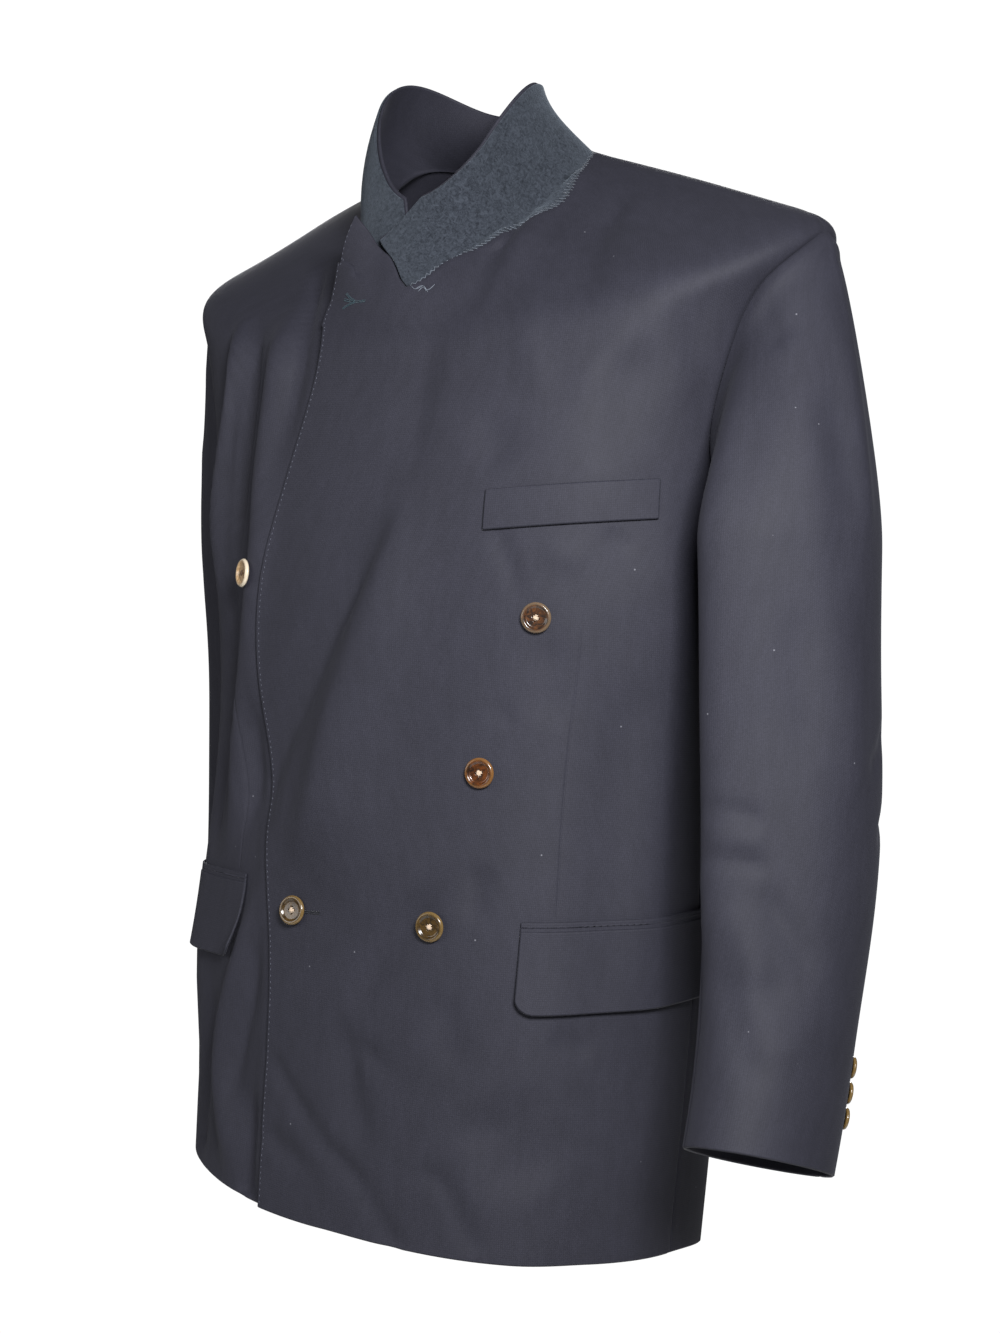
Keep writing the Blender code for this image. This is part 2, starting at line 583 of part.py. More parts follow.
def make_flap(side, material):
    """Pocket flap: sewn in at its top, standing a little off at its rounded lower corners."""
    lapped = side > 0
    z = POCKET_Z - JET_HEIGHT - 2 * SEAM_GAP + (0 if lapped else POCKET_RIGHT_RISE)
    lengths = np.linspace(0, POCKET_LENGTH, 19)
    turns = pocket_turns(side, z, lengths)
    from_end = np.minimum(lengths, POCKET_LENGTH - lengths)
    short = np.clip(1 - from_end / FLAP_CORNER, 0, 1)
    height = FLAP_HEIGHT - FLAP_CORNER * (1 - np.sqrt(1 - short ** 2 * 0.96))
    down = np.linspace(1, 0, 5)
    rows = np.array([[row_at(t, z - h * part) for t, h in zip(turns, height)] for part in down])
    turns = np.broadcast_to(turns, rows.shape)
    stand = (FLAP_STAND * down ** 2)[:, None] * np.ones_like(rows)
    return wall("flap_left" if lapped else "flap_right", on_form(turns, rows, CLOTH + LAY + stand, lapped),
                on_form(turns, rows, CLOTH + LAY + FLAP_THICK + stand, lapped), material)


# ---------------------------------------------------------------- buttons
def make_button(name, at, out, radius, thick, shank, material):
    """Turned button with a rim and a dish, on its stub of thread."""
    mesh = bpy.data.meshes.new(name)
    profile = [
        (0.0, shank + 0.55 * thick), (0.50 * radius, shank + 0.60 * thick), (0.72 * radius, shank + thick),
        (0.90 * radius, shank + thick), (radius, shank + 0.70 * thick), (0.96 * radius, shank + 0.25 * thick),
        (0.70 * radius, shank), (SHANK_RADIUS, shank), (SHANK_RADIUS, 0.0), (0.0, 0.0),
    ]
    edges = [(i, i + 1) for i in range(len(profile) - 1)]
    mesh.from_pydata([(x, 0.0, z) for x, z in profile], edges, [])
    piece = add_object(name, mesh, material)
    turning = piece.modifiers.new("turned", "SCREW")
    turning.steps = turning.render_steps = 20
    turning.use_merge_vertices = True
    turning.merge_threshold = 0.00001
    turning.use_normal_calculate = True
    direction = Vector(out).normalized()
    piece.rotation_euler = direction.to_track_quat("Z", "Y").to_euler()
    piece.location = Vector(at) + direction * SEAM_GAP
    return piece


def make_front_buttons(material):
    for name, (x, z, hand) in FRONT_BUTTONS.items():
        turn, row = place(x, z)
        lapped = hand == "left"
        at = on_form(turn, row, CLOTH, lapped)
        make_button(name, at, form_normal(turn, row), BUTTON_RADIUS, BUTTON_THICK, BUTTON_SHANK, material)


def make_cuff_buttons(side, grid, out, over, material):
    """Three buttons on the top sleeve, beside the hind seam."""
    hand = "left" if side > 0 else "right"
    seam, next_in = over[-1], over[-2]
    step = np.linalg.norm(np.diff(grid[::-1, seam], axis=0), axis=-1)
    above_hem = np.concatenate([[0.0], np.cumsum(step)])
    for number, up in enumerate(CUFF_BUTTON_UP):
        index = len(grid) - 1 - np.interp(up, above_hem, np.arange(len(grid)))
        low, part = int(index), index - int(index)
        points = grid + out * CLOTH

        def blend(field):
            edge = field[low] * (1 - part) + field[low + 1] * part
            return edge[seam] * (1 - CUFF_BUTTON_TURN) + edge[next_in] * CUFF_BUTTON_TURN

        make_button(f"cuff_button_{hand}_{number + 1}", blend(points), blend(out), CUFF_BUTTON_RADIUS,
                    CUFF_BUTTON_THICK, CUFF_BUTTON_SHANK, material)


# ---------------------------------------------------------------- the blazer
COLLECTION = start_clean()
SUITING = make_material("wool suiting", (0.045, 0.047, 0.062), 0.85)
FELTED = make_material("under collar felt", (0.030, 0.040, 0.055), 0.95)
HORN = make_material("horn", (0.160, 0.070, 0.025), 0.30)

make_front(1, SUITING)
make_front(-1, SUITING)
make_back(1, SUITING)
make_back(-1, SUITING)
make_collar("under_collar", 0.0, FELT, FELTED)
make_collar("top_collar", -SEAM_GAP - CLOTH, -SEAM_GAP, SUITING)
make_welt(SUITING)
make_front_buttons(HORN)
for SIDE in (1, -1):
    make_jet(SIDE, SUITING)
    make_flap(SIDE, SUITING)
    SLEEVE, OUTWARD, OVER = make_sleeve(SIDE, SUITING)
    make_cuff_buttons(SIDE, SLEEVE, OUTWARD, OVER, HORN)
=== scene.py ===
# %% [markdown]
# # A double breasted blazer with its collar turned up
#
# This lesson cuts, shapes and sews a blazer in Blender. It is worn by nobody, so it stands open at the
# neck, the hem and the cuffs. The left front laps over the right, the peak lapels are unrolled and the
# collar stands up, so the felt that is usually hidden under it shows.
#
# Everything made here is in metres, with +Z up, the front facing -Y and the wearer's left at +X.

# %% Load the frame
import math

import bpy
import numpy as np
from mathutils import Matrix, Vector


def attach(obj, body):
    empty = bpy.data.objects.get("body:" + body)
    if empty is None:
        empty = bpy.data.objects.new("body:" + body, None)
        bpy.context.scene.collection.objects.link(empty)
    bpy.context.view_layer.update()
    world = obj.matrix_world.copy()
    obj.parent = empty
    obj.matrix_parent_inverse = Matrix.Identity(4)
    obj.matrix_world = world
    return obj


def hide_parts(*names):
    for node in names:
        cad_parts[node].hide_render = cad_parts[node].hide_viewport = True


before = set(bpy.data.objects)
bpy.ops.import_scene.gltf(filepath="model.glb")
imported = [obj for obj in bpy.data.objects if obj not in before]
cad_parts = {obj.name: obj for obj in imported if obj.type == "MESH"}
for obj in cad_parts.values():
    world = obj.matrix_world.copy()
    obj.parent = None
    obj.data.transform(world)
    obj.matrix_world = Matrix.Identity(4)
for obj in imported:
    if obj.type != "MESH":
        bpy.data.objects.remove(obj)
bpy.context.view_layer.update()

# %% [markdown]
# ## Sizes
#
# A tailor works from a few real sizes. The suit cloth with its canvas is 2 mm thick, the felt a little
# less, and the left front stands 6 mm out from the body line because it lies over the right one.

# %% Real sizes, in metres
CLOTH = 0.0020
FELT = 0.0016
SEAM_GAP = 0.0003
LAP = 0.0060
LAP_FULL, LAP_NONE = 40.0, 62.0
LAY = 0.0006
STEP = 0.0045
HAND = {1: "left", -1: "right"}     # side: 1 is the wearer's left, at +X, and -1 the right
print("cloth", CLOTH * 1000, "mm, felt", FELT * 1000, "mm, mesh step", STEP * 1000, "mm")

# %% [markdown]
# ## The form
#
# Tailored cloth keeps the shape that darts and pressing gave it, so we don't need to simulate it. All of
# the body panels lie on one form, like the dummy in a workroom. It is a loft: thirteen rings from the hem
# to the neck, each with its own half width, its own depth to the front and back, and its own heights.
# A smooth curve runs through the rings, so a point is found by how far round it is (turn, in degrees
# from the front towards the wearer's left) and how far up (row, where each ring is one whole number).

# %% Rings of the body and of the collar
BODY_RINGS = {
    # row:       shift,  half,  y_front, y_side, y_back, z_front, z_side, z_back, tilt, power
    "hem":      (-0.027, 0.196, -0.184, -0.036, 0.108, -0.779, -0.780, -0.824, -0.022, 2.5),
    "seat":     (-0.022, 0.199, -0.180, -0.030, 0.117, -0.680, -0.682, -0.712, -0.017, 2.5),
    "pocket":   (-0.014, 0.199, -0.174, -0.024, 0.124, -0.560, -0.560, -0.576, -0.010, 2.5),
    "waist":    (-0.006, 0.198, -0.166, -0.015, 0.128, -0.440, -0.440, -0.446, -0.005, 2.5),
    "rib":      (0.000, 0.208, -0.163, -0.010, 0.140, -0.350, -0.350, -0.350, 0.0, 2.5),
    "underarm": (0.000, 0.215, -0.162, -0.008, 0.147, -0.285, -0.285, -0.285, 0.0, 2.5),
    "chest":    (0.000, 0.222, -0.157, -0.008, 0.147, -0.238, -0.222, -0.228, 0.0, 2.5),
    "yoke":     (0.001, 0.239, -0.149, -0.008, 0.138, -0.195, -0.152, -0.172, 0.0, 2.4),
    "cap":      (0.004, 0.258, -0.143, -0.008, 0.125, -0.168, -0.106, -0.132, 0.0, 2.3),
    "shoulder": (0.006, 0.269, -0.140, -0.008, 0.112, -0.155, -0.079, -0.102, 0.0, 2.1),
    "pad":      (0.006, 0.239, -0.136, -0.008, 0.094, -0.144, -0.0605, -0.090, 0.000, 1.9),
    "slope":    (0.002, 0.168, -0.131, -0.006, 0.062, -0.128, -0.034, -0.050, -0.002, 1.8),
    "neck":     (-0.006, 0.085, -0.125, -0.006, 0.024, -0.1075, -0.010, -0.003, -0.002, 2.0),
}
COLLAR_RINGS = {
    "neck":     BODY_RINGS["neck"],
    "crease":   (-0.009, 0.0755, -0.118, -0.036, 0.014, -0.082, 0.014, 0.018, -0.003, 2.0),
    "top":      (0.000, 0.0605, -0.110, -0.056, 0.014, -0.045, 0.045, 0.036, -0.007, 2.0),
}
ROW = {name: float(number) for number, name in enumerate(list(BODY_RINGS) + ["crease", "top"])}
print(len(BODY_RINGS), "body rings,", len(COLLAR_RINGS), "collar rings")


# %% A smooth loft through the rings
def bends(knots, table):
    """Second slopes of the smooth curve that runs through the table's rows."""
    count = len(knots)
    gap = np.diff(knots)
    system = np.eye(count)
    pull = np.zeros_like(table)
    for i in range(1, count - 1):
        system[i, i - 1:i + 2] = gap[i - 1], 2 * (gap[i - 1] + gap[i]), gap[i]
        pull[i] = 6 * ((table[i + 1] - table[i]) / gap[i] - (table[i] - table[i - 1]) / gap[i - 1])
    return np.linalg.solve(system, pull)


def read_curve(knots, table, bend, at):
    """The table's columns at a place along its knots."""
    i = np.clip(np.searchsorted(knots, at, side="right") - 1, 0, len(knots) - 2)
    gap = (knots[i + 1] - knots[i])[..., None]
    after = (at[..., None] - knots[i][..., None]) / gap
    before = 1 - after
    curve = (before ** 3 - before) * bend[i] + (after ** 3 - after) * bend[i + 1]
    return before * table[i] + after * table[i + 1] + curve * gap ** 2 / 6


def make_loft(rows, lengths):
    """A table, its places along the loft and its bends, ready for read_loft."""
    table = np.array(rows, float)
    knots = np.concatenate([[0.0], np.cumsum(lengths(table))])
    return knots, table, bends(knots, table)


def read_loft(loft, row):
    """The table's columns at a row number, which may lie between two rows."""
    knots, table, bend = loft
    return read_curve(knots, table, bend, np.interp(row, np.arange(len(knots)), knots))


def smooth_line(table, at):
    """Value on the smooth line through the table's (place, value) pairs, level beyond its ends."""
    knots, values = np.array(sorted(table), float).T
    at = np.clip(np.asarray(at, float), knots[0], knots[-1])
    values = values[:, None]
    return read_curve(knots, values, bends(knots, values), at)[..., 0]


def ring_lengths(table):
    """Distance from ring to ring: the mean of the climb at the side and at the front."""
    step = np.diff(table, axis=0)
    return (np.hypot(step[:, 1], step[:, 6]) + np.hypot(step[:, 2], step[:, 5])) / 2


BODY_LOFT = make_loft(list(BODY_RINGS.values()), ring_lengths)
COLLAR_LOFT = make_loft(list(COLLAR_RINGS.values()), ring_lengths)
print("hem to neck along the cloth:", round(float(BODY_LOFT[0][-1]), 3), "m")


# %% Points and directions of the form
def ring_at(row):
    """Ring sizes at a row of the form: body below the neck seam, collar above it."""
    row = np.asarray(row, float)
    body = read_loft(BODY_LOFT, np.clip(row, 0, ROW["neck"]))
    collar = read_loft(COLLAR_LOFT, np.clip(row - ROW["neck"], 0, 2))
    return np.where((row > ROW["neck"])[..., None], collar, body)


def form(turn, row):
    """Point of the form, turn degrees round from the front towards the left, at a row."""
    turn, row = np.broadcast_arrays(np.asarray(turn, float), np.asarray(row, float))
    sizes = np.moveaxis(ring_at(row), -1, 0)
    shift, half, y_front, y_side, y_back, z_front, z_side, z_back, tilt, power = sizes
    sine, cosine = np.sin(np.radians(turn)), np.cos(np.radians(turn))
    across = np.sign(sine) * np.abs(sine) ** (2 / power)
    along = np.sign(cosine) * np.abs(cosine) ** (2 / power)
    middle = (y_front + y_back) / 2
    y = middle - (y_back - y_front) / 2 * along + (y_side - middle) * (1 - along ** 2)
    lean = (z_front - z_back) / 2
    saddle = ((z_front + z_back) / 2 - z_side) / 2
    z = z_side + saddle + lean * cosine + saddle * np.cos(2 * np.radians(turn)) + tilt * sine
    return np.stack([shift + half * across, y, z], axis=-1)


def unit(vectors):
    return vectors / np.maximum(np.linalg.norm(vectors, axis=-1, keepdims=True), 1e-12)


def form_normal(turn, row):
    """Direction straight out of the form."""
    turn, row = np.broadcast_arrays(np.asarray(turn, float), np.asarray(row, float))
    low, high = np.maximum(row - 0.02, 0), np.minimum(row + 0.02, ROW["top"])
    round_body = form(turn + 0.5, row) - form(turn - 0.5, row)
    return unit(np.cross(round_body, form(turn, high) - form(turn, low)))


def ease(value, start, end):
    """Smooth step: 0 at start, 1 at end."""
    part = np.clip((np.asarray(value, float) - start) / (end - start), 0, 1)
    return part * part * (3 - 2 * part)


PEAK_STAND = 0.020        # how far the stiff peak stands off the neck
STAND_TURNS, STAND_ROWS = (-5.0, -40.0), (10.6, 12.0)


def lap_lift(turn, row):
    """How far a left hand piece stands out: whole over the right front, nothing at the side."""
    stand = PEAK_STAND * ease(turn, *STAND_TURNS) * ease(row, *STAND_ROWS)
    return LAP * ease(turn, LAP_NONE, LAP_FULL) + stand


print("front middle of the chest:", form(0, ROW["chest"]).round(3))


# %% Find a place on the form
def turn_at(x, row):
    """Degrees round the form at a distance x from the middle, on the front."""
    ring = ring_at(np.asarray(row, float))
    part = np.clip((x - ring[..., 0]) / ring[..., 1], -1, 1)
    return np.degrees(np.arcsin(np.sign(part) * np.abs(part) ** (ring[..., 9] / 2)))


def row_at(turn, z):
    """Row of the form at a height."""
    rows = np.linspace(0, ROW["neck"], 600)
    return float(np.interp(z, form(turn, rows)[:, 2], rows))


def place(x, z, behind=False):
    """Turn and row of the point of the front, or of the back, at x and z."""
    turn = 180.0 if behind else 0.0
    for _ in range(6):
        row = row_at(turn, z)
        turn = float(turn_at(x, row))
        turn = 180.0 - turn if behind else turn
    return turn, row


def place_outside(x, z, behind=False, lapped=True):
    """Turn and row of a place that is seen at x and z on the outside of the cloth."""
    aim_x, aim_z = x, z
    for _ in range(4):
        turn, row = place(aim_x, aim_z, behind)
        out = CLOTH + (lap_lift(turn, row) if lapped else 0)
        seen = form(turn, row) + form_normal(turn, row) * out
        aim_x, aim_z = aim_x + x - seen[0], aim_z + z - seen[2]
    return turn, row


def turns_along(turn, row, lengths, side):
    """Turns at distances round the cloth from a first turn, towards one side."""
    steps = turn + side * np.linspace(0, 75, 300)
    run = distances(form(steps, row))
    return np.interp(lengths, run, steps)


def distances(points, axis=0):
    """Distance run along lines of points."""
    step = np.linalg.norm(np.diff(points, axis=axis), axis=-1)
    return np.insert(np.cumsum(step, axis=axis), 0, 0.0, axis=axis)


print("breast pocket starts at turn and row", place(0.0957, -0.26))

# %% [markdown]
# ## Seam lines of the pattern
#
# Each panel is a patch of the form between seams. The armhole bites into the side, the shoulder seam runs
# back towards the neck, the front edge is a line of its own, and the gorge is where the collar is sewn on.

# %% Where the seams run
ARMHOLE_FRONT, ARMHOLE_BACK, ARMHOLE_POWER = 17.0, 15.0, 4.0
SHOULDER_SEAM_BACK = 22.0
FRONT_EDGE = (
    (-0.785, 0.0850), (-0.700, 0.0815), (-0.600, 0.0795), (-0.540, 0.0860), (-0.480, 0.0960),
    (-0.420, 0.1045), (-0.350, 0.1055), (-0.260, 0.0830), (-0.192, 0.0640), (-0.150, 0.0600),
    (-0.114, 0.0635), (-0.078, 0.0523),
)
GORGE = ((6.0, 11.69), (17.0, 11.86), (25.0, 11.99), (34.0, 11.89), (48.0, 11.88), (61.0, 11.79),
         (72.0, 11.87), (92.0, 12.0))
GORGE_CORNER = 6.0
LAPEL_TOP = ((6.0, 11.69), (2.2, 12.37), (-6.0, 12.86), (-14.5, 13.12), (-23.8, 13.29))
PEAK_WIDTH = 1.5
COLLAR_END = ((6.9, 11.76), (3.7, 12.40), (-2.6, 12.88), (-10.4, 13.16))
COLLAR_FULL = 8.8
DART = {  # x and z of the lower and upper end of each front's dart
    1: ((0.138, -0.552), (0.155, -0.325)),
    -1: ((-0.126, -0.535), (-0.137, -0.345)),
}


def armhole_turn(row, reach):
    """Degrees that the armhole comes in from the side at a row."""
    part = np.clip((row - ROW["underarm"]) / (ROW["shoulder"] - ROW["underarm"]), 0, 1)
    return reach * (1 - np.abs(2 * part - 1) ** ARMHOLE_POWER)


def shoulder_turn(row):
    """Turn of the shoulder seam, which runs back from the sleeve's top to the neck."""
    part = np.clip((np.asarray(row, float) - ROW["shoulder"]) / (ROW["neck"] - ROW["shoulder"]), 0, 1)
    return 90.0 + SHOULDER_SEAM_BACK * np.sin(part * math.pi / 2)


def gorge_row(turn):
    """Row of the collar seam, at any turn. Behind the shoulder seams it is the neck ring."""
    turn = np.asarray(turn, float)
    return smooth_line(GORGE, np.where(turn > 180, 360 - turn, turn))


def edge_turn(row):
    """Turn of the front edge at a row, for the left front. The right front takes its mirror."""
    turns = np.linspace(-75.0, 0.0, 301)
    points = form(turns, row) + form_normal(turns, row) * (CLOTH + lap_lift(turns, row))[:, None]
    inside = points[:, 0] + smooth_line(FRONT_EDGE, points[:, 2])
    first = int(np.argmax(inside > 0))
    part = inside[first - 1] / (inside[first - 1] - inside[first])
    return float(turns[first - 1] + part * (turns[first] - turns[first - 1]))


print("front edge at the hem is at turn", round(edge_turn(0.0), 1))

# %% [markdown]
# ## Folds
#
# A blazer in a firm wool hangs almost smooth. What it has are long, soft folds: a drag line from the
# chest down to the fastened button, a roll beside the lapel on the right front, gentle ripples near the
# armholes and pulls in the skirt. Noise would make a crumpled cloth, so each fold is a stroke: a line of
# points on the form, a width, and a height that fades to nothing at both ends. A negative
# height is a trough. Seams use the same tool, with narrow strokes that sink the cloth where two pieces meet.

# %% A stroke, and the relief that strokes give to points
def stroke(line, width, height, fade=(0.3, 0.3), slack=1.0):
    """A fold along a line of points. Its width may run from one value to another. fade: the part of its
    length over which each end dies away. slack: how many times longer one flank is than the other. It is
    the one on the right hand of somebody who walks along the line on the outside of the cloth."""
    line = np.array(line, float)
    run = distances(line)
    part = run / run[-1]
    first, last = width if isinstance(width, tuple) else (width, width)
    width = first + (last - first) * part
    rise = ease(part, 0, max(fade[0], 1e-6)) * ease(1 - part, 0, max(fade[1], 1e-6))
    return line, width, height * rise, slack


def smooth_through(points, count=22):
    """Points spaced along the smooth curve through a few points."""
    points = np.array(points, float)
    knots = distances(points)
    return read_curve(knots, points, bends(knots, points), np.linspace(0, knots[-1], count))


def fold(width, height, *points, fade=(0.35, 0.35), behind=False, lapped=False, slack=1.0):
    """A stroke through points that are seen from the front, or the back, at x and z."""
    spots = np.array([place_outside(x, z, behind, lapped) for x, z in points])
    if behind:
        spots[:, 0] %= 360
    line = smooth_through(form(spots[:, 0], spots[:, 1]))
    return stroke(line, width, height, fade, slack)


def relief(points, strokes):
    """How far the strokes lift or sink each point."""
    total = np.zeros(points.shape[:-1])
    for line, width, height, slack in strokes:
        reach = 2.6 * width.max() * max(slack, 1.0)
        low, high = line.min(axis=0) - reach, line.max(axis=0) + reach
        near = ((points > low) & (points < high)).all(axis=-1)
        if not near.any():
            continue
        spots = points[near]
        best = np.full(len(spots), 1e9)
        at, flank = np.zeros(len(spots)), np.zeros(len(spots))
        for number, (start, end) in enumerate(zip(line[:-1], line[1:])):
            along = end - start
            part = np.clip((spots - start) @ along / max(along @ along, 1e-12), 0, 1)
            far = np.linalg.norm(spots - start - part[:, None] * along, axis=-1)
            closer = far < best
            best = np.where(closer, far, best)
            at = np.where(closer, number + part, at)
            if slack != 1.0:
                away = np.cross(along / np.linalg.norm(along), spots - start)
                side = away @ unit(start * np.array([1.0, 1.0, 0.0])) / np.maximum(far, 1e-6)
                flank = np.where(closer, side, flank)
        places = np.arange(len(line))
        wide = np.interp(at, places, width) * (1 + (slack - 1) * ease(flank, 0.15, -0.15))
        total[near] += np.interp(at, places, height) * np.exp(-(best / wide) ** 2)
    return total


test_fold = fold(0.01, 0.002, (0.0, -0.3), (0.02, -0.35), (0.02, -0.4))
print("a stroke through three points has", len(test_fold[0]), "samples")


# %% Folds of each part: the right front takes fold itself
def left_fold(*settings, **more):
    """A fold of the left front, which stands out over the right one."""
    return fold(*settings, lapped=True, **more)


def back_fold(*settings, **more):
    """A fold of the back."""
    return fold(*settings, behind=True, **more)


def fold_through(width, height, *points, fade=(0.3, 0.3)):
    """A fold through points given in space, for the collar and the sleeves."""
    return stroke(smooth_through(points), width, height, fade)


print("four ways to lay a fold")

# %% Folds of the left front, from the drag line down to the skirt
LEFT_FOLDS = [
    # a drag line: a sharp crease where the collar was folded, then a soft hollow, and below the chest a
    # broad bank that faces the right arm and ends at the fastened button
    left_fold((0.0032, 0.0065), -0.0036, (0.067, -0.066), (0.068, -0.085), (0.068, -0.104),
              (0.067, -0.125), (0.064, -0.150), (0.060, -0.175), fade=(0.0, 0.6), slack=2.5),
    left_fold(0.0120, 0.0030, (0.080, -0.074), (0.081, -0.100), (0.080, -0.125), (0.076, -0.155),
              fade=(0.1, 0.5)),
    left_fold(0.0110, -0.0036, (0.047, -0.110), (0.041, -0.145), (0.040, -0.175), (0.038, -0.205),
              (0.037, -0.235), (0.034, -0.260), slack=2.0),
    left_fold((0.0070, 0.0160), -0.0100, (0.032, -0.250), (0.006, -0.295), (-0.018, -0.334),
              (-0.040, -0.370), (-0.060, -0.406), (-0.082, -0.440), (-0.098, -0.480), (-0.098, -0.525),
              fade=(0.3, 0.2), slack=2.4),
    left_fold((0.0215, 0.0090), 0.0135, (-0.062, -0.545), (-0.048, -0.514), (-0.036, -0.477),
              (-0.028, -0.441), (-0.018, -0.405), (-0.004, -0.369), (0.010, -0.334), (0.024, -0.292),
              (0.036, -0.250), fade=(0.25, 0.35), slack=2.6),
    # soft ripples from the left shoulder to the welt, which meet in a V
    left_fold(0.0120, 0.0022, (0.110, -0.115), (0.114, -0.135), (0.120, -0.164), (0.131, -0.192),
              (0.141, -0.208)),
    left_fold(0.0120, 0.0018, (0.196, -0.135), (0.182, -0.158), (0.163, -0.184), (0.145, -0.206)),
    left_fold(0.0140, 0.0026, (0.196, -0.105), (0.205, -0.146), (0.208, -0.185), (0.203, -0.220)),
    left_fold(0.0095, -0.0046, (0.126, -0.064), (0.146, -0.103), (0.156, -0.130), (0.157, -0.155),
              slack=1.6),
    left_fold(0.0200, -0.0034, (0.188, -0.150), (0.182, -0.200), (0.176, -0.250)),
    left_fold(0.0150, -0.0030, (0.094, -0.200), (0.100, -0.225), (0.110, -0.248)),
    # under the welt and beside the dart
    left_fold(0.0050, -0.0024, (0.104, -0.286), (0.112, -0.306), (0.118, -0.326), (0.121, -0.342),
              fade=(0.1, 0.5)),
    left_fold(0.0050, -0.0020, (0.170, -0.285), (0.177, -0.294), (0.184, -0.303)),
    left_fold(0.0090, 0.0018, (0.132, -0.298), (0.148, -0.304), (0.165, -0.308)),
    left_fold(0.0180, 0.0028, (0.172, -0.300), (0.179, -0.334), (0.180, -0.375), (0.176, -0.420)),
    left_fold(0.0140, -0.0026, (0.134, -0.352), (0.140, -0.385), (0.134, -0.425)),
    left_fold(0.0042, -0.0014, (0.102, -0.401), (0.108, -0.412), (0.114, -0.425)),
    # pulls beside the low button
    left_fold(0.0130, -0.0042, (-0.010, -0.640), (0.018, -0.592), (0.039, -0.560), (0.058, -0.540),
              (0.080, -0.526)),
    left_fold(0.0120, 0.0014, (0.004, -0.580), (0.032, -0.540), (0.052, -0.515), (0.074, -0.498)),
    left_fold(0.0090, -0.0030, (0.096, -0.512), (0.093, -0.538), (0.089, -0.560)),
    # skirt of the left front: one long thin crease to the hem, and short broken ones around it
    left_fold(0.0052, -0.0030, (-0.078, -0.655), (-0.057, -0.682), (-0.041, -0.699), (-0.022, -0.719),
              (-0.004, -0.731), (0.014, -0.747), (0.028, -0.766), (0.044, -0.785), fade=(0.15, 0.0),
              slack=1.7),
    left_fold((0.0065, 0.0110), -0.0040, (-0.016, -0.618), (-0.006, -0.644), (0.000, -0.671),
              (0.007, -0.699), (0.017, -0.732), slack=1.8),
    left_fold(0.0075, -0.0026, (-0.004, -0.640), (0.020, -0.655), (0.040, -0.666)),
    left_fold(0.0095, -0.0030, (-0.080, -0.716), (-0.054, -0.732), (-0.024, -0.743), fade=(0.1, 0.5)),
    left_fold(0.0120, -0.0024, (0.067, -0.600), (0.076, -0.633), (0.081, -0.665)),
    left_fold(0.0065, -0.0026, (0.046, -0.742), (0.063, -0.731), (0.076, -0.740), (0.087, -0.761),
              (0.096, -0.784), fade=(0.3, 0.1)),
    left_fold(0.0300, -0.0050, (0.098, -0.672), (0.116, -0.708), (0.134, -0.745)),
    left_fold(0.0100, -0.0026, (0.138, -0.628), (0.149, -0.639), (0.160, -0.646)),
    left_fold(0.0120, -0.0018, (0.148, -0.750), (0.159, -0.768), (0.170, -0.782)),
    left_fold(0.0180, 0.0020, (0.086, -0.690), (0.090, -0.730), (0.096, -0.770)),
    # below the arms the cloth stays full until it turns in under the sleeve
    left_fold(0.0270, 0.0075, (0.196, -0.230), (0.196, -0.300), (0.193, -0.380), (0.184, -0.460),
              (0.180, -0.560), (0.176, -0.680), fade=(0.2, 0.3)),
]
COLLAR_DRAG = LEFT_FOLDS[:3]      # these three run on into the collar
print(len(LEFT_FOLDS), "folds on the left front")

# %% Folds of the right front
RIGHT_FOLDS = [
    # below the arm the cloth stays full here too
    fold(0.0300, 0.0080, (-0.182, -0.180), (-0.178, -0.260), (-0.176, -0.360), (-0.178, -0.460),
         (-0.184, -0.580), (-0.186, -0.700), fade=(0.2, 0.2)),
    # a long roll beside the lapel, a thin one by the armhole, and dark hollows beside them
    fold((0.0090, 0.0095), 0.0108, (-0.150, -0.545), (-0.141, -0.484), (-0.135, -0.439), (-0.127, -0.394),
         (-0.120, -0.349), (-0.110, -0.295), (-0.108, -0.250), (-0.106, -0.200), (-0.108, -0.150),
         (-0.120, -0.110), fade=(0.25, 0.15), slack=1.7),
    fold(0.0080, -0.0072, (-0.152, -0.105), (-0.139, -0.145), (-0.136, -0.184), (-0.138, -0.221),
         (-0.142, -0.274), (-0.146, -0.330), fade=(0.2, 0.4)),
    fold(0.0070, -0.0062, (-0.112, -0.085), (-0.098, -0.109), (-0.085, -0.150), (-0.082, -0.188),
         (-0.086, -0.230), fade=(0.2, 0.5)),
    fold((0.0060, 0.0070), 0.0084, (-0.172, -0.112), (-0.158, -0.152), (-0.161, -0.197), (-0.165, -0.243),
         (-0.168, -0.300), (-0.168, -0.360), fade=(0.2, 0.4)),
    fold(0.0080, -0.0040, (-0.152, -0.300), (-0.152, -0.360), (-0.157, -0.420)),
    fold(0.0090, -0.0040, (-0.116, -0.400), (-0.118, -0.450), (-0.122, -0.510)),
    fold(0.0090, -0.0044, (-0.162, -0.430), (-0.166, -0.480), (-0.170, -0.540)),
    fold(0.0090, 0.0078, (-0.128, -0.775), (-0.130, -0.727), (-0.139, -0.689), (-0.135, -0.645),
         (-0.119, -0.598), (-0.103, -0.554), (-0.098, -0.520), fade=(0.2, 0.3), slack=1.5),
    fold(0.0080, -0.0045, (-0.098, -0.575), (-0.103, -0.620), (-0.116, -0.670), (-0.122, -0.720),
         fade=(0.3, 0.4)),
    fold(0.0100, -0.0062, (-0.100, -0.680), (-0.102, -0.725), (-0.104, -0.785), fade=(0.4, 0.0)),
    fold(0.0120, -0.0050, (-0.156, -0.600), (-0.164, -0.660), (-0.172, -0.730), (-0.178, -0.790),
         fade=(0.3, 0.1)),
]
print(len(RIGHT_FOLDS), "folds on the right front")

